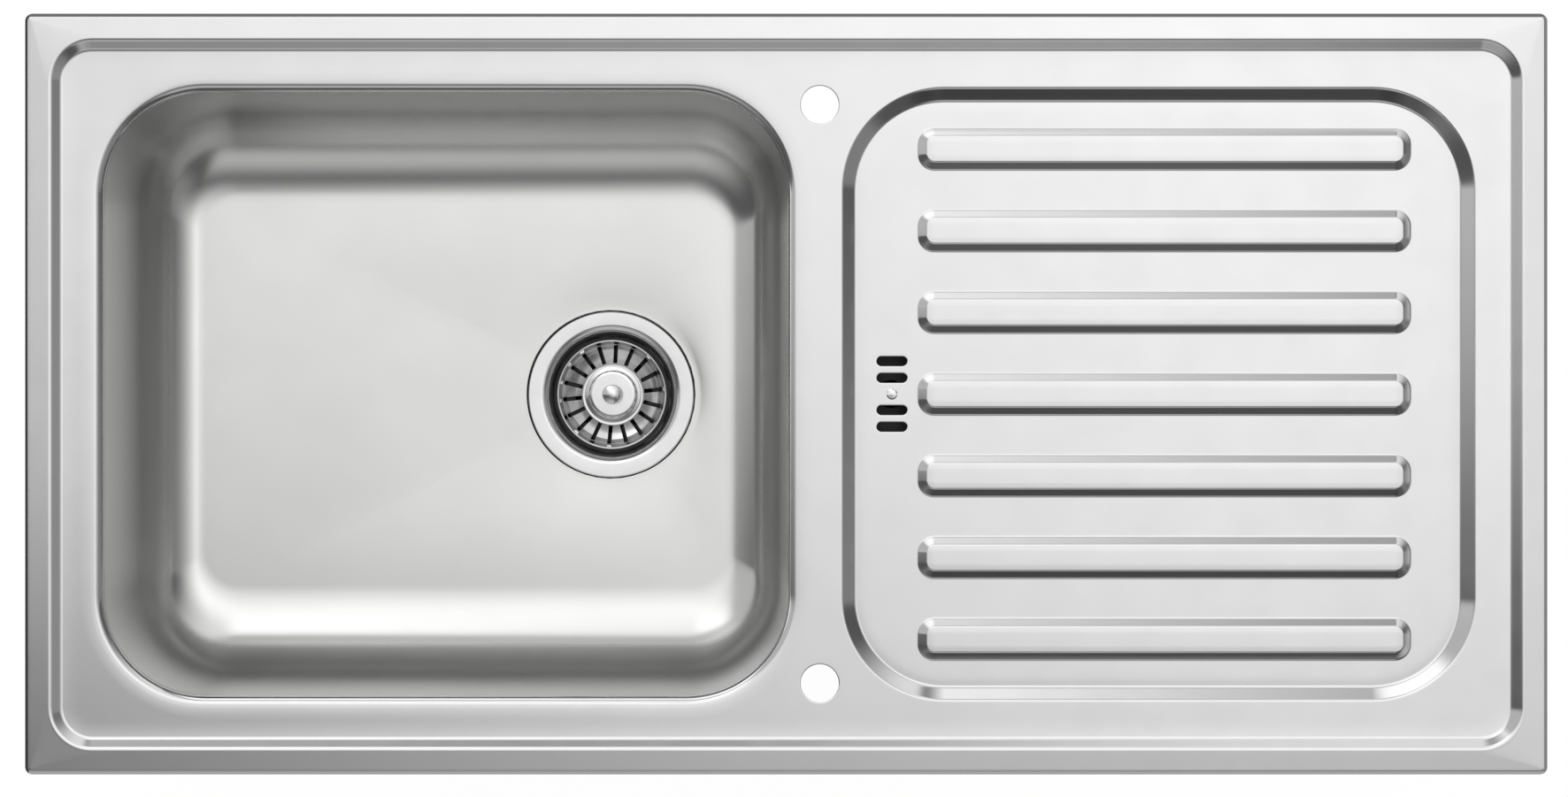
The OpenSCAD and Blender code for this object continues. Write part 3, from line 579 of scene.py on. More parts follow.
class Sheet:
    """A pressed sheet, built ring by ring as the face that shows and then thickened behind it."""

    def __init__(self, name: str, thickness: float = 0.0) -> None:
        """Starts an empty sheet.

        Args:
            name: name of the piece.
            thickness: thickness of the sheet in millimetres, or 0 for a piece that isn't thickened.
        """
        self.name = name
        self.thickness = thickness
        self.mesh = bmesh.new()

    def ring(self, points: list[Vector]) -> Ring:
        """Adds one ring of points."""
        return [self.mesh.verts.new(point) for point in points]

    def bridge(self, outer: Ring, inner: Ring) -> None:
        """Joins two rings with a band of faces.

        Args:
            outer: the ring that comes first.
            inner: the ring that comes next, with as many points.
        """
        for i, corner in enumerate(outer):
            j = (i + 1) % len(outer)
            self.mesh.faces.new((corner, outer[j], inner[j], inner[i]))

    def stack(self, rows: list[list[Vector]]) -> tuple[Ring, Ring]:
        """Joins rings of points one after the other, from the outside in.

        Args:
            rows: the points of each ring.

        Returns:
            The first ring and the last.
        """
        rings = [self.ring(row) for row in rows]
        for outer, inner in zip(rings, rings[1:]):
            self.bridge(outer, inner)
        return rings[0], rings[-1]

    def sweep(self, plan: Plan, profile: Line) -> tuple[Ring, Ring]:
        """Sweeps a profile round a plan.

        Args:
            plan: outline that the profile follows.
            profile: distances inward from the outline, with heights.

        Returns:
            The first ring and the last.
        """
        return self.stack([plan.drawn_in(inset, height) for inset, height in profile])

    def turn(self, x: float, y: float, line: Line, points: int = 72) -> tuple[Ring, Ring]:
        """Turns a profile round an upright axis.

        Args:
            x: place of the axis.
            y: place of the axis.
            line: radii, with heights.
            points: number of points round the axis.

        Returns:
            The first ring and the last.
        """
        turns = [2 * math.pi * k / points for k in range(points)]
        rows = []
        for r, z in line:
            rows.append([Vector((x + r * math.cos(a), y + r * math.sin(a), z)) * MM for a in turns])
        return self.stack(rows)

    def fill(self, *rings: Ring) -> None:
        """Fills the flat face inside the first ring and round the others.

        Args:
            rings: the rings that bound the face.
        """
        pairs = [pair for ring in rings for pair in zip(ring, ring[1:] + ring[:1])]
        edges = [self.mesh.edges.get(pair) or self.mesh.edges.new(pair) for pair in pairs]
        made = bmesh.ops.triangle_fill(self.mesh, use_beauty=True, edges=edges, normal=(0, 0, 1))
        for item in made["geom"]:
            if isinstance(item, bmesh.types.BMFace):
                item.normal_update()
                if item.normal.z < 0:
                    item.normal_flip()

    def finish(self, body: str, finish: Finish, slot: str, *nodes: str) -> None:
        """Turns the rings into a piece of the sink.

        Args:
            body: body that the piece rides on.
            finish: its finish.
            slot: name of the piece's material slot; it is not used.
            nodes: CAD nodes that it stands for.
        """
        data = bpy.data.meshes.new(self.name)
        self.mesh.to_mesh(data)
        self.mesh.free()
        data.materials.append(finish.material())
        made = bpy.data.objects.new(self.name, data)
        bpy.context.scene.collection.objects.link(made)
        if self.thickness:
            back = made.modifiers.new("sheet_thickness", "SOLIDIFY")
            back.thickness = self.thickness * MM
            back.offset = -1
            back.use_even_offset = True
        soften(made)
        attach(made, body)
        if nodes:
            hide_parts(*nodes)
        log.info("%s is built in %s", self.name, finish.name)


# Outline of the bowl's mouth, where deck and bowl meet.
MOUTH = Plan(-224, 0, 450, 397, 67, steps=20)


@dataclass
class Deck:
    """The pressed top sheet: rolled edge, rim, step, lip, drainer tray, ribs and holes. Millimetres.

    A lap is flat sheet drawn before a bend, and rows are the places of a profile's points.
    """

    finish: Finish = SATIN_STEEL
    length: float = 1000
    width: float = 500
    corner_r: float = 5
    corner_rest: float = 0.4
    rim_h: float = 6
    rim_w: float = 17.6
    rim_fall: float = 0.55
    rim_lap: float = 3
    edge_run: float = 2.6
    edge_bend: float = 1.2
    foot: float = 0.32
    step_run: float = 6.3
    step_drop: float = 4
    step_r: float = 27
    step_bend: float = 5
    dip: float = -0.15
    dip_run: float = 12
    lip_r: float = 5.8
    lip_roll: float = 0.4
    lip_rows: tuple[float, ...] = (15, 13, 11, 9.5, 8.2, 7.2)
    lip_fall: float = 0.35
    tray: Plan = Plan(244.5, 0, 415, 402, 67, steps=20)
    tray_lap: float = 3.2
    tray_run: float = 8
    tray_drop: float = 7
    tray_bend: float = 3.2
    tray_dip: float = 0.15
    tray_dip_run: float = 9
    rib_x: float = 249
    rib_size: tuple[float, float, float] = (324, 27.3, 10.5)
    rib_pitch: float = 53.78
    rib_count: int = 7
    rib_lap: float = 3
    rib_run: float = 5.1
    rib_bend: float = 2.4
    rib_h: float = 4
    rib_crown: float = 0.1
    rib_rows: tuple[float, float] = (8.2, 9.6)
    rib_swell: float = 0.02
    tap: tuple[float, float, float] = (22, 190, 12.5)
    slot_x: float = 69.6
    slot_places: tuple[float, ...] = (-21.6, -10.6, 10.6, 21.6)
    slot_size: tuple[float, float] = (20, 6.4)
    screw_hole_r: float = 2.75
    cut_roll: float = 0.6

    @property
    def deck_z(self) -> float:
        """Height of the deck."""
        return self.rim_h - self.step_drop

    @property
    def tray_z(self) -> float:
        """Height of the tray's floor."""
        return self.deck_z - self.tray_drop

    def hollow(
        self, start: float, run: float, dip: float, height: float, shares: tuple[float, ...]
    ) -> Line:
        """Lists points where the sheet beside a bend is still a little low or high, and runs out to flat.

        Args:
            start: inward distance of the bend.
            run: distance over which the sheet runs out.
            dip: how low it lies at the bend, or how high if it is less than 0.
            height: height of the flat sheet.
            shares: shares of the run at which the points lie.

        Returns:
            The points, as inward distances and heights.
        """
        return [(start + run * s, height - dip * (1 - s) ** 2) for s in shares]

    def dress(self) -> None:
        """Builds the whole sheet and puts it in the place of its solid."""
        skin = Sheet("pressed_deck", SHEET)
        foot_side = self.rim(skin)
        lip = self.lip(skin)
        tray = self.drainer(skin)
        x, y, radius = self.tap
        holes = [self.cut_hole(skin, disc(x, side * y, radius), self.deck_z) for side in (-1, 1)]
        skin.fill(foot_side, lip, tray, *holes)
        skin.finish(SINK, self.finish, "satin_stainless", "sink_deck")

    def rim(self, skin: Sheet) -> Ring:
        """Builds the rolled edge, the rim that falls gently outward, and the step.

        Args:
            skin: the sheet that they join.

        Returns:
            The ring where the step has run out into the deck.
        """
        slope = self.rim_fall / (self.rim_w - self.edge_run)
        brow = self.rim_h - self.rim_fall
        stop = self.corner_r - self.corner_rest
        edge = [(0, self.foot), (self.edge_run, brow), (stop, brow + slope * (stop - self.edge_run))]
        outside = Plan(0, 0, self.length, self.width, self.corner_r)
        _, edge_ring = skin.sweep(outside, rounded(edge, [self.edge_bend], step_deg=11))
        inner = Plan(0, 0, self.length - 2 * self.rim_w, self.width - 2 * self.rim_w, self.step_r)
        lap = self.rim_lap
        first = self.hollow(self.step_run, self.dip_run, self.dip, self.deck_z, (0, 0.3))
        line = [(-lap, self.rim_h - slope * lap), (0, self.rim_h), *first]
        step = rounded(line, [self.step_bend] * 2, step_deg=3)
        step += self.hollow(self.step_run, self.dip_run, self.dip, self.deck_z, (0.45, 0.6, 0.8, 1))
        step_ring, last = skin.sweep(inner, step)
        skin.bridge(edge_ring, step_ring)
        return last

    def lip(self, skin: Sheet) -> Ring:
        """Builds the lip of the bowl and the collar under it.

        Args:
            skin: the sheet that they join.

        Returns:
            The outer ring, still level with the deck.
        """
        far = self.lip_rows[0]
        roll = [(-d, self.deck_z - self.lip_roll * ((far - d) / far) ** 2) for d in self.lip_rows]
        corner = (0, roll[-1][1] - self.lip_fall)
        turn = rounded([roll[-1], corner, (0, SEAM_Z)], [self.lip_r], step_deg=6)
        first, _ = skin.sweep(MOUTH, roll[:-1] + turn)
        return first

    def drainer(self, skin: Sheet) -> Ring:
        """Builds the tray with its ribs, slots and screw hole.

        Args:
            skin: the sheet that they join.

        Returns:
            The outer ring, still level with the deck.
        """
        run = (self.tray_run, self.tray_dip_run, self.tray_dip, self.tray_z)
        line = [(-self.tray_lap, self.deck_z), (0, self.deck_z), *self.hollow(*run, (0, 0.35))]
        wall = rounded(line, [self.tray_bend] * 2, step_deg=4)
        outer, foot = skin.sweep(self.tray, wall + self.hollow(*run, (0.5, 0.7, 1)))
        holes = []
        for i in range(self.rib_count):
            holes.append(self.rib(skin, (i - (self.rib_count - 1) / 2) * self.rib_pitch))
        for y in self.slot_places:
            plan = Plan(self.slot_x, y, *self.slot_size, self.slot_size[1] / 2, steps=8, least_radius=0)
            holes.append(self.cut_hole(skin, plan, self.tray_z))
        holes.append(self.cut_hole(skin, disc(self.slot_x, 0, self.screw_hole_r), self.tray_z))
        skin.fill(foot, *holes)
        return outer

    def rib(self, skin: Sheet, y: float) -> Ring:
        """Builds one rib of the tray.

        Args:
            skin: the sheet that it joins.
            y: place of the rib.

        Returns:
            The ring round its foot.
        """
        top = self.tray_z + self.rib_h
        level, last = self.rib_rows
        plan = Plan(self.rib_x, y, *self.rib_size, steps=10)
        brow = (self.rib_run, top - self.rib_crown)
        line = [(-self.rib_lap, self.tray_z), (0, self.tray_z), brow, (level, top)]
        line = rounded(line, [self.rib_bend] * 2, step_deg=5)
        first, crown = skin.sweep(plan, line + [(last, top + self.rib_swell)])
        skin.fill(crown)
        return first

    def cut_hole(self, skin: Sheet, plan: Plan, height: float) -> Ring:
        """Rolls the edge of a punched hole down a little.

        Args:
            skin: the sheet that is punched.
            plan: outline of the hole.
            height: height of the sheet.

        Returns:
            The ring round the hole.
        """
        roll = self.cut_roll
        line = [(-2 * roll, height)]
        for turn in (math.radians(degrees) for degrees in (0, 30, 60, 85)):
            line.append((-roll * (1 - math.sin(turn)), height - roll / 2 * (1 - math.cos(turn))))
        first, _ = skin.sweep(plan, line)
        return first


@dataclass
class Bowl:
    """The drawn bowl, its seam and the pads under the sink. Millimetres."""

    finish: Finish = DRAWN_STEEL
    mouth: Plan = replace(MOUTH, side_steps=16)
    wall_draft: float = 5
    fillet_h: float = 54
    fillet_x: float = 38
    fillet_y: float = 60
    fillet_ramps: tuple[float, float] = (0.45, 0.06)
    floor_corner_r: float = 24
    fall: float = 1.3
    fall_power: float = 2.4
    rows: int = 30
    seat_r: float = 59.0
    seat_lap: float = 3
    seat_run: float = 0.9
    seat_bend: float = 0.5
    seat_drop: float = 2.6
    hole_r: float = 46
    bead_r: float = 0.8
    bead_gap: float = 0.1

    def dress(self) -> None:
        """Builds the bowl and dresses its pads."""
        self.shell()
        self.bead()
        dress(DAMPING, "bowl_floor_pad", "bowl_side_pads", "drainer_pads")

    def shell(self) -> None:
        """Builds the bowl, whose front and rear sweep into the floor more slowly than its ends."""
        skin = Sheet("drawn_bowl", SHEET)
        low = FLOOR_Z + self.fall + self.fillet_h
        wall_r = self.mouth.radius - self.wall_draft
        rows = []
        for share in (0, 0.25, 0.5, 0.75):
            rows.append(self.mouth.drawn_in(self.wall_draft * share, SEAM_Z + (low - SEAM_Z) * share))
        lean = math.degrees(math.atan2(self.wall_draft, SEAM_Z - low))
        for draw, sink in drawn_bend(lean, *self.fillet_ramps, self.rows):
            rows.append(
                self.mouth.points(
                    low - self.fillet_h * sink,
                    self.wall_draft + self.fillet_x * draw,
                    self.wall_draft + self.fillet_y * draw,
                    wall_r + (self.floor_corner_r - wall_r) * draw,
                )
            )
        deep = FLOOR_Z - self.seat_drop
        end = self.seat_r - self.hole_r
        line = [(-self.seat_lap, FLOOR_Z), (0, FLOOR_Z), (self.seat_run, deep), (end, deep)]
        line = rounded(line, [self.seat_bend] * 2, step_deg=15)
        seat = [(self.seat_r - inset, height) for inset, height in line]
        skin.stack(rows + self.floor_rows(rows[-1], seat))
        skin.finish(SINK, self.finish, "satin_stainless", "bowl")

    def floor_rows(self, edge: list[Vector], seat: Line) -> list[list[Vector]]:
        """Lists the rings of the floor, which falls a little from its edge to the seat of the waste.

        Args:
            edge: points of the floor's edge.
            seat: radii of the seat from its outer side, with heights.

        Returns:
            The rings after the floor's edge, from the outside in.
        """
        axis = Vector((*WASTE_AXIS, 0)) * MM
        arms = [Vector((p.x, p.y, 0)) - axis for p in edge]
        rows = []
        start_r, start_z = seat[0]
        reach = start_r * MM
        for share in (k / 10 for k in range(1, 10)):
            up = Vector((0, 0, (start_z + self.fall * (1 - share**self.fall_power)) * MM))
            rows.append([axis + arm * (1 - share) + arm.normalized() * reach * share + up for arm in arms])
        for radius, height in seat:
            up = Vector((0, 0, height * MM))
            rows.append([axis + arm.normalized() * radius * MM + up for arm in arms])
        return rows

    def bead(self) -> None:
        """Lays the ground weld bead round the outside of the seam."""
        weld = Sheet("seam_weld")
        out = SHEET + self.bead_gap
        turns = [math.radians(45 * k) for k in range(9)]
        line = [(-out - self.bead_r * math.cos(a), SEAM_Z + self.bead_r * math.sin(a)) for a in turns]
        weld.sweep(self.mouth, line)
        weld.finish(SINK, WELD, "satin_stainless")


@dataclass(frozen=True)
class Thread:
    """The ridge of a screw thread, a little proud of an upright round shank. Millimetres."""

    x: float
    y: float
    core_r: float
    top: float
    bottom: float
    pitch: float
    height: float
    turn_points: int
    root: float = 0.15
    foot_share: float = 0.42
    crest_share: float = 0.09

    def wind(self, skin: Sheet) -> None:
        """Winds the ridge down the shank; it rises and fades over one turn at each end.

        Args:
            skin: the mesh that it joins.
        """
        count = round((self.top - self.bottom) / self.pitch * self.turn_points)
        rows = []
        for i in range(count + 1):
            turn = 2 * math.pi * i / self.turn_points
            crest = self.core_r + self.height * min(1, i / self.turn_points, (count - i) / self.turn_points)
            height = self.top - self.pitch * i / self.turn_points
            row = []
            for r, share in (
                (self.core_r - self.root, self.foot_share),
                (crest, self.crest_share),
                (crest, -self.crest_share),
                (self.core_r - self.root, -self.foot_share),
            ):
                x = self.x + r * math.cos(turn)
                y = self.y + r * math.sin(turn)
                row.append(Vector((x, y, height + share * self.pitch)) * MM)
            rows.append(row)
        skin.stack(rows)


@dataclass
class Waste:
    """The waste: flange, housing, bolt and seals."""

    finish: Finish = BRIGHT_STEEL
    outlet: Thread = Thread(
        *WASTE_AXIS, core_r=23.9, top=-241, bottom=-269, pitch=2.3, height=0.8, turn_points=48
    )

    def dress(self) -> None:
        """Dresses the waste and cuts the thread of its outlet."""
        thread = Sheet("outlet_thread")
        self.outlet.wind(thread)
        thread.finish(SINK, BLACK_PLASTIC, "black_plastic")
        dress(CUP_STEEL, "waste_flange")
        dress(self.finish, "centre_bolt")
        dress(RUBBER, "flange_seal", "lower_gasket")
        dress(BLACK_PLASTIC, "waste_body")
        dress(BRASS, "body_insert")


@dataclass
class Strainer:
    """The lift-out strainer: a slotted basket, its cap, and a domed knob on a spindle.

    Millimetres, with heights over the bowl's floor. The offsets in the profiles of cap and knob are the
    rounds and steps of their edges, drawn one by one.
    """

    finish: Finish = BRIGHT_STEEL
    sheet: float = 0.6
    top: float = -12
    floor: float = -32
    rim_r: float = 38.5
    roll: float = 0.7
    lip_drop: float = 2.0
    lip_tuck: float = 1.2
    wall_foot: tuple[float, float] = (35.7, -21.8)
    shoulder: tuple[float, float] = (32.6, -27.0)
    cone_r: float = 21.2
    bends: tuple[float, ...] = (2.5, 3.0, 2.0)
    slot_count: int = 18
    slot_turn: float = 86
    slot_width: float = 2.9
    slot_span: tuple[float, float] = (22.2, 35.0)
    slot_slack: float = 0.01
    cap_r: float = 20
    plate_r: float = 16.6
    cap_top: float = -26.6
    spindle_r: float = 3
    spindle_end: float = -55
    spindle_gap: float = 0.1
    knob_r: float = 6.8
    knob_top: float = -8
    dome_r: float = 15
    dome_rows: tuple[float, ...] = (6.2, 5.6, 4.8, 4, 3.2, 2.4, 1.6, 0.8, 0.2)

    def lowered(self, line: Line) -> Line:
        """Moves a profile down to the height of the bowl's floor."""
        return [(r, z + FLOOR_Z) for r, z in line]

    def profile(self) -> Line:
        """Lists the points of the basket's profile, with one where each slot starts and ends.

        Returns:
            Radii from the outer side of the rolled lip to the spindle, with heights.
        """
        centre = self.rim_r - self.roll
        line = [(self.rim_r, self.top - self.lip_drop)]
        for degrees in range(0, 181, 30):
            a = math.radians(degrees)
            line.append((centre + self.roll * math.cos(a), self.top - self.roll + self.roll * math.sin(a)))
        tuck = (self.rim_r - 2 * self.roll, self.top - self.lip_tuck)
        foot = (self.spindle_r + self.spindle_gap, self.floor)
        path = [tuck, self.wall_foot, self.shoulder, (self.cone_r, self.floor), foot]
        wall = rounded(path, list(self.bends), step_deg=9)
        for here, ahead in zip(wall, wall[1:]):
            line.append(here)
            for cut in reversed(self.slot_span):
                if here[0] > cut > ahead[0]:
                    share = (here[0] - cut) / (here[0] - ahead[0])
                    line.append((cut, here[1] + (ahead[1] - here[1]) * share))
        return line + [wall[-1]]

    def basket(self) -> None:
        """Builds the basket: rolled lip, upright wall, then a cone cut by radial slots."""
        line = self.profile()
        skin = Sheet("pressed_basket", self.sheet)
        rings = [self.slotted_ring(skin, r, z) for r, z in self.lowered(line)]
        per_slot = len(rings[0]) // self.slot_count
        start, end = self.slot_span
        for i, (outer, nearer) in enumerate(zip(rings, rings[1:])):
            cut = start - self.slot_slack < line[i + 1][0] and line[i][0] < end + self.slot_slack
            for k, corner in enumerate(outer):
                if cut and k % per_slot == 0:
                    continue
                j = (k + 1) % len(outer)
                skin.mesh.faces.new((corner, outer[j], nearer[j], nearer[k]))
        skin.finish(STRAINER, self.finish, "polished_stainless", "basket")

    def slotted_ring(self, skin: Sheet, radius: float, height: float) -> Ring:
        """Adds one ring of the basket, with a point at each side of every slot.

        Args:
            skin: the sheet that it joins.
            radius: radius of the ring.
            height: its height.

        Returns:
            The ring: for each slot its two sides, then two points on the bar after it.
        """
        share = min(max(radius, self.slot_span[0]), self.slot_span[1])
        half = math.asin(self.slot_width / 2 / share)
        step = 2 * math.pi / self.slot_count
        bar = (step - 2 * half) / 3
        points = []
        for k in range(self.slot_count):
            middle = math.radians(self.slot_turn) + k * step
            for turn in (-half, half, half + bar, half + 2 * bar):
                x = WASTE_AXIS[0] + radius * math.cos(middle + turn)
                y = WASTE_AXIS[1] + radius * math.sin(middle + turn)
                points.append(Vector((x, y, height)) * MM)
        return skin.ring(points)

    def cap(self) -> None:
        """Builds the cap: a narrow brim, a short step and a flat round plate."""
        brim = self.floor + 1.4
        bore_r = self.spindle_r + self.spindle_gap / 2
        line = [
            (bore_r, self.floor),
            (self.cap_r, self.floor),
            (self.cap_r, self.floor + 0.6),
            (self.cap_r - 0.2, brim - 0.35),
            (self.cap_r - 0.7, brim - 0.15),
            (self.plate_r + 1.0, brim + 0.1),
            (self.plate_r + 0.3, brim + 0.4),
            (self.plate_r, brim + 1.0),
            (self.plate_r - 0.2, self.cap_top - 0.9),
            (self.plate_r - 0.6, self.cap_top - 0.35),
            (self.plate_r - 1.3, self.cap_top - 0.08),
            (self.plate_r - 2.4, self.cap_top),
            (bore_r, self.cap_top),
        ]
        skin = Sheet("pressed_cap")
        first, last = skin.turn(*WASTE_AXIS, self.lowered(line))
        skin.bridge(last, first)
        skin.finish(STRAINER, self.finish, "polished_stainless", "basket_cap")

    def knob(self) -> None:
        """Builds the knob with its low dome, and the spindle down through the cup."""
        tip = self.spindle_end
        line = [
            (self.dome_rows[-1], tip),
            (self.spindle_r - 0.7, tip),
            (self.spindle_r, tip + 0.7),
            (self.spindle_r, self.cap_top),
            (self.spindle_r + 1.4, self.cap_top + 0.05),
            (self.spindle_r + 1.2, self.cap_top + 0.7),
            (self.spindle_r + 0.8, self.cap_top + 1.6),
            (self.spindle_r + 0.8, self.knob_top - 10.2),
            (self.spindle_r + 1.2, self.knob_top - 9.0),
            (self.knob_r - 1.0, self.knob_top - 7.6),
            (self.knob_r - 0.2, self.knob_top - 7.0),
            (self.knob_r, self.knob_top - 6.3),
            (self.knob_r, self.knob_top - 3.4),
            (self.knob_r - 0.1, self.knob_top - 2.7),
            (self.knob_r - 0.3, self.knob_top - 2.1),
        ]
        for r in self.dome_rows:
            line.append((r, self.knob_top - self.dome_r + math.sqrt(self.dome_r**2 - r**2)))
        skin = Sheet("turned_knob")
        skin.fill(*skin.turn(*WASTE_AXIS, self.lowered(line), points=48))
        skin.finish(STRAINER, self.finish, "polished_stainless", "basket_knob")

    def dress(self) -> None:
        """Builds the strainer's steel and dresses its seal and nut."""
        self.basket()
        self.cap()
        self.knob()
        dress(RUBBER, "basket_seal")
        dress(ZINC_STEEL, "basket_nut")


@dataclass
class Hose:
    """The blown hose with its ribs: straight down, one bend, then across to the waste. Millimetres."""

    finish: Finish = HOSE_PLASTIC
    top: tuple[float, float] = (69.6, -45.3)
    drop: float = 92.7
    bend_r: float = 55
    across: float = 69.1
    plain: float = 31.6
    pitch: float = 5
    plain_r: float = 10.8
    valley_r: float = 10.6
    crest_r: float = 12.8
    wall: float = 1.5
    sides: int = 28
    wave: tuple[tuple[float, float], ...] = (
        (0, 0), (0.12, 0.26), (0.24, 0.76), (0.36, 1), (0.5, 1), (0.64, 1), (0.76, 0.76), (0.88, 0.26),
    )

    def place(self, along: float) -> tuple[Vector, Vector]:
        """Finds a point of the centre line.

        Args:
            along: distance from the upper end.

        Returns:
            The point and the direction there.
        """
        arc = self.bend_r * math.pi / 2
        if along <= self.drop:
            return Vector((self.top[0], 0, self.top[1] - along)), Vector((0, 0, -1))
        turn = min((along - self.drop) / self.bend_r, math.pi / 2)
        past = max(0.0, along - self.drop - arc)
        x = self.top[0] - self.bend_r * (1 - math.cos(turn)) - past
        z = self.top[1] - self.drop - self.bend_r * math.sin(turn)
        return Vector((x, 0, z)), Vector((-math.sin(turn), 0, -math.cos(turn)))

    def dress(self) -> None:
        """Sweeps the ribbed wall along the route and puts it in the place of its solid."""
        total = self.drop + self.bend_r * math.pi / 2 + self.across
        ribs = round((total - 2 * self.plain) / self.pitch)
        line = [(0.0, self.plain_r), (self.plain - self.pitch / 2, self.plain_r)]
        for i in range(ribs):
            for share, rise in self.wave:
                radius = self.valley_r + (self.crest_r - self.valley_r) * rise
                line.append((self.plain + (i + share) * self.pitch, radius))
        line += [(total - self.plain, self.valley_r), (total - self.plain + self.pitch / 2, self.plain_r)]
        line.append((total, self.plain_r))
        skin = Sheet("ribbed_hose", self.wall)
        side = Vector((0, 1, 0))
        turns = [2 * math.pi * (k + 0.5) / self.sides for k in range(self.sides)]
        rows = []
        for along, radius in line:
            centre, ahead = self.place(along)
            up = ahead.cross(side)
            rows.append([(centre + (side * math.cos(a) + up * math.sin(a)) * radius) * MM for a in turns])
        skin.stack(rows)
        skin.finish(SINK, self.finish, "grey_plastic", "overflow_hose")


@dataclass
class Overflow:
    """The overflow under the drainer slots, with its hose."""

    hose: Hose

    def dress(self) -> None:
        """Dresses the overflow and builds its hose."""
        self.hose.dress()
        dress(BRIGHT_STEEL, "overflow_screw")
        dress(RUBBER, "overflow_gasket", "hose_washers")
        dress(BLACK_PLASTIC, "overflow_head", "hose_nut_upper", "hose_nut_lower")
        dress(BRASS, "overflow_insert")


@dataclass
class Clips:
    """The worktop clips and the foam strip under the rim. Millimetres."""

    places: tuple[tuple[float, float], ...] = (
        (-300, 214), (-50, 214), (300, 214), (-464, 0), (464, 0), (-300, -214), (-50, -214), (300, -214),
    )
    screw_r: float = 2.4
    thread_top: float = -13.6
    thread_bottom: float = -35.8
    pitch: float = 1.6

    def dress(self) -> None:
        """Dresses the clips and the strip, and winds the screws' threads."""
        thread = Sheet("clip_screw_threads")
        ends = (self.thread_top, self.thread_bottom)
        for place in self.places:
            Thread(*place, self.screw_r, *ends, self.pitch, height=0.35, turn_points=16).wind(thread)
        thread.finish(SINK, ZINC_STEEL, "zinc_steel")
        dress(SATIN_STEEL, "clip_anchors")
        dress(ZINC_STEEL, "clip_screws", *[f"clip_claw_{i + 1}" for i in range(len(self.places))])
        dress(FOAM, "rim_seal")


@dataclass(frozen=True)
class Panel:
    """A soft panel of light in the sky, seen from above as a patch of the unit disc.

    Each edge is a place and the width over which the light fades there, in the panel's own turned axes.
    """

    left: tuple[float, float]
    right: tuple[float, float]
    front: tuple[float, float]
    rear: tuple[float, float]
    strength: float
    turn_deg: float = 0.0


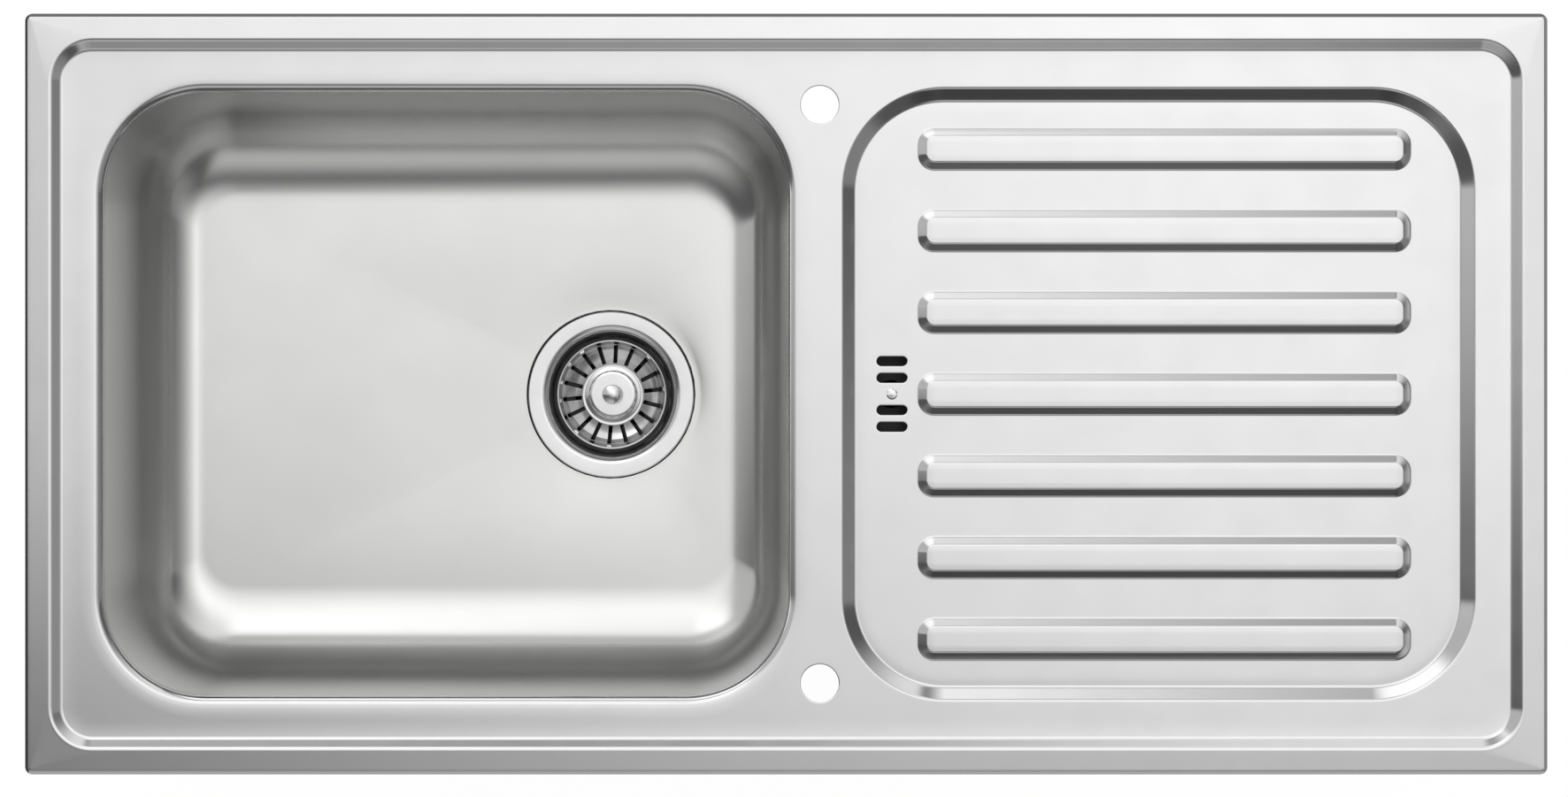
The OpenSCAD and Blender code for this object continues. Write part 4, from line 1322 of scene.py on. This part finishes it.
@dataclass
class Studio:
    """Pale floor, soft sky and the camera straight above the sink. Metres, but for the lens.

    The panels and cards stand for what the photo's steel mirrors. They were fitted to how light its flat and
    sloping faces are.
    """

    camera_at: tuple[float, float, float] = (-0.00145, -0.0029, 2.5)
    lens_mm: float = 87.36
    sensor_mm: float = 36
    view_end: float = 50
    floor_z: float = -0.272
    floor_half: float = 8.0
    paper: str = "#f2f2f2"
    paper_shadowed: str = "#4a4a4a"
    paper_glow: float = 0.965
    ambient: float = 0.054
    panels: tuple[Panel, ...] = (
        Panel((-0.09, 0.56), (0.42, 1.02), (-0.16, 0.49), (0.47, 0.60), 1.47, -3.9),
        Panel((-1.30, 0.18), (-0.09, 0.28), (-0.06, 0.08), (0.75, 0.13), 0.53, -3.4),
        Panel((-0.25, 0.21), (1.12, 0.29), (0.34, 0.78), (0.77, 0.06), 0.98, 21.3),
        Panel((-0.80, 0.38), (0.44, 0.34), (0.87, 0.19), (1.30, 0.16), 1.48, 16.7),
        Panel((0.54, 0.48), (1.30, 0.18), (-0.43, 0.24), (0.26, 0.06), 0.18, -14.3),
        Panel((-0.38, 0.88), (0.33, 0.17), (-0.85, 0.23), (-0.47, 0.42), 0.50, -11.6),
        Panel((-1.30, 0.18), (1.30, 0.18), (-0.94, 0.06), (1.30, 0.16), 0.06, 5.5),
        Panel((0.975, 0.03), (1.30, 0.10), (-0.35, 0.20), (0.12, 0.15), 0.90, 175),
    )
    card_start: tuple[float, float] = (0.53, 0.28)
    card_end: float = 4.0
    card_levels: tuple[float, float, float, float] = (0.30, 0.22, 0.05, 0.55)

    def camera(self) -> None:
        """Places the camera that takes the photo's view."""
        data = bpy.data.cameras.new("camera")
        data.sensor_width = self.sensor_mm
        data.lens = self.lens_mm
        data.clip_end = self.view_end
        made = bpy.data.objects.new("camera", data)
        made.location = self.camera_at
        bpy.context.scene.collection.objects.link(made)
        bpy.context.scene.camera = made

    def seen_by(self, tree: Tree, *rays: str) -> Socket:
        """Makes a share that is 1 for rays of some kinds and 0 for all others.

        Args:
            tree: node tree that it joins.
            rays: outputs of the light path, such as "Is Camera Ray".

        Returns:
            The socket that carries the share.
        """
        light = add(tree, "ShaderNodeLightPath").outputs
        seen = light[rays[0]]
        for ray in rays[1:]:
            seen = add(tree, "ShaderNodeMath", {0: seen, 1: light[ray]}, operation="MAXIMUM").outputs[0]
        return seen

    def glow(self, tree: Tree, panel: Panel) -> Socket:
        """Makes the light of one panel.

        Args:
            tree: node tree of the sky.
            panel: the panel.

        Returns:
            The socket that carries its strength in each direction.
        """
        ray = add(tree, "ShaderNodeTexCoord").outputs["Generated"]
        turn = math.radians(panel.turn_deg)
        across = (math.cos(turn), math.sin(turn), 0)
        along = (-math.sin(turn), math.cos(turn), 0)
        level: Socket | float = panel.strength
        for aim, edges in ((across, (panel.left, panel.right)), (along, (panel.front, panel.rear))):
            axis = add(tree, "ShaderNodeVectorMath", {0: ray, 1: aim}, operation="DOT_PRODUCT")
            for (place, fade), (before, after) in zip(edges, ((0.0, 1.0), (1.0, 0.0))):
                shade = add(
                    tree,
                    "ShaderNodeMapRange",
                    {
                        "Value": axis.outputs["Value"],
                        "From Min": place - fade / 2,
                        "From Max": place + fade / 2,
                        "To Min": before,
                        "To Max": after,
                    },
                    interpolation_type="SMOOTHSTEP",
                ).outputs["Result"]
                level = add(tree, "ShaderNodeMath", {0: level, 1: shade}, operation="MULTIPLY").outputs[0]
        return level

    def sky(self) -> None:
        """Makes the soft light that comes from all round, behind a white that only the camera sees."""
        world = bpy.data.worlds.new("studio_sky")
        bpy.context.scene.world = world
        world.use_nodes = True
        tree = world.node_tree
        total: Socket | float = self.ambient
        for panel in self.panels:
            level = self.glow(tree, panel)
            total = add(tree, "ShaderNodeMath", {0: total, 1: level}, operation="ADD").outputs[0]
        seen = self.seen_by(tree, "Is Camera Ray", "Is Transmission Ray")
        shown = {"Factor": seen, "A": total, "B": 1.0}
        strength = add(tree, "ShaderNodeMix", shown, data_type="FLOAT").outputs[0]
        tree.links.new(strength, tree.nodes["Background"].inputs["Strength"])
        tree.nodes["Background"].inputs["Color"].default_value = linear(WHITE)

    def bare(self, name: str) -> bpy.types.Material:
        """Makes a material without nodes yet.

        Args:
            name: name of the material.

        Returns:
            The material.
        """
        made = bpy.data.materials.new(name)
        made.use_nodes = True
        made.node_tree.nodes.clear()
        return made

    def lay(self, name: str, outline: Line, height: float, material: bpy.types.Material) -> None:
        """Lays one flat sheet of the studio.

        Args:
            name: name of the sheet.
            outline: its four corners.
            height: its height.
            material: what it is made of.
        """
        mesh = bpy.data.meshes.new(name)
        mesh.from_pydata([(x, y, height) for x, y in outline], [], [(0, 1, 2, 3)])
        mesh.materials.append(material)
        made = bpy.data.objects.new(name, mesh)
        bpy.context.scene.collection.objects.link(made)

    def floor(self) -> None:
        """Lays the pale floor, which stays white in the picture and in the steel, with the sink's shadow."""
        paper = self.bare("studio_paper_matt_white")
        tree = paper.node_tree
        seen = self.seen_by(tree, "Is Camera Ray", "Is Glossy Ray", "Is Transmission Ray")
        matt = add(tree, "ShaderNodeBsdfDiffuse", {"Color": linear(self.paper)}).outputs[0]
        grey = add(tree, "ShaderNodeBsdfDiffuse", {"Color": linear(self.paper_shadowed)}).outputs[0]
        white = {"Color": linear(WHITE), "Strength": self.paper_glow}
        glow = add(tree, "ShaderNodeEmission", white).outputs[0]
        lit = add(tree, "ShaderNodeAddShader", {0: grey, 1: glow}).outputs[0]
        both = add(tree, "ShaderNodeMixShader", {0: seen, 1: matt, 2: lit}).outputs[0]
        add(tree, "ShaderNodeOutputMaterial", {"Surface": both})
        half = self.floor_half
        outline = [(-half, -half), (half, -half), (half, half), (-half, half)]
        self.lay("studio_floor", outline, self.floor_z, paper)

    def cards(self) -> None:
        """Lays grey cards round the sink, right, rear, left and front, that only its steel can see."""
        x, y = self.card_start
        far = self.card_end
        inner = ((x, -y), (x, y), (-x, y), (-x, -y))
        outer = ((far, -far), (far, far), (-far, far), (-far, -far))
        for i, (side, level) in enumerate(zip(("right", "rear", "left", "front"), self.card_levels)):
            name = f"studio_card_{side}"
            card = self.bare(name)
            tree = card.node_tree
            mirrored = self.seen_by(tree, "Is Glossy Ray")
            clear = add(tree, "ShaderNodeBsdfTransparent").outputs[0]
            grey = {"Color": linear(WHITE), "Strength": level}
            tone = add(tree, "ShaderNodeEmission", grey).outputs[0]
            both = add(tree, "ShaderNodeMixShader", {0: mirrored, 1: clear, 2: tone}).outputs[0]
            add(tree, "ShaderNodeOutputMaterial", {"Surface": both})
            j = (i + 1) % len(inner)
            self.lay(name, [inner[i], outer[i], outer[j], inner[j]], self.floor_z + MM, card)

    def build(self) -> None:
        """Sets up the whole studio."""
        self.camera()
        self.sky()
        self.floor()
        self.cards()
        bpy.context.scene.view_settings.view_transform = "Standard"


def main() -> None:
    """Dresses every part of the sink and sets up the studio."""
    logging.basicConfig(level=logging.INFO, format="%(message)s")
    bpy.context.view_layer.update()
    for part in (Deck(), Bowl(), Waste(), Strainer(), Overflow(Hose()), Clips()):
        part.dress()
    Studio().build()


if __name__ == "__main__":
    main()
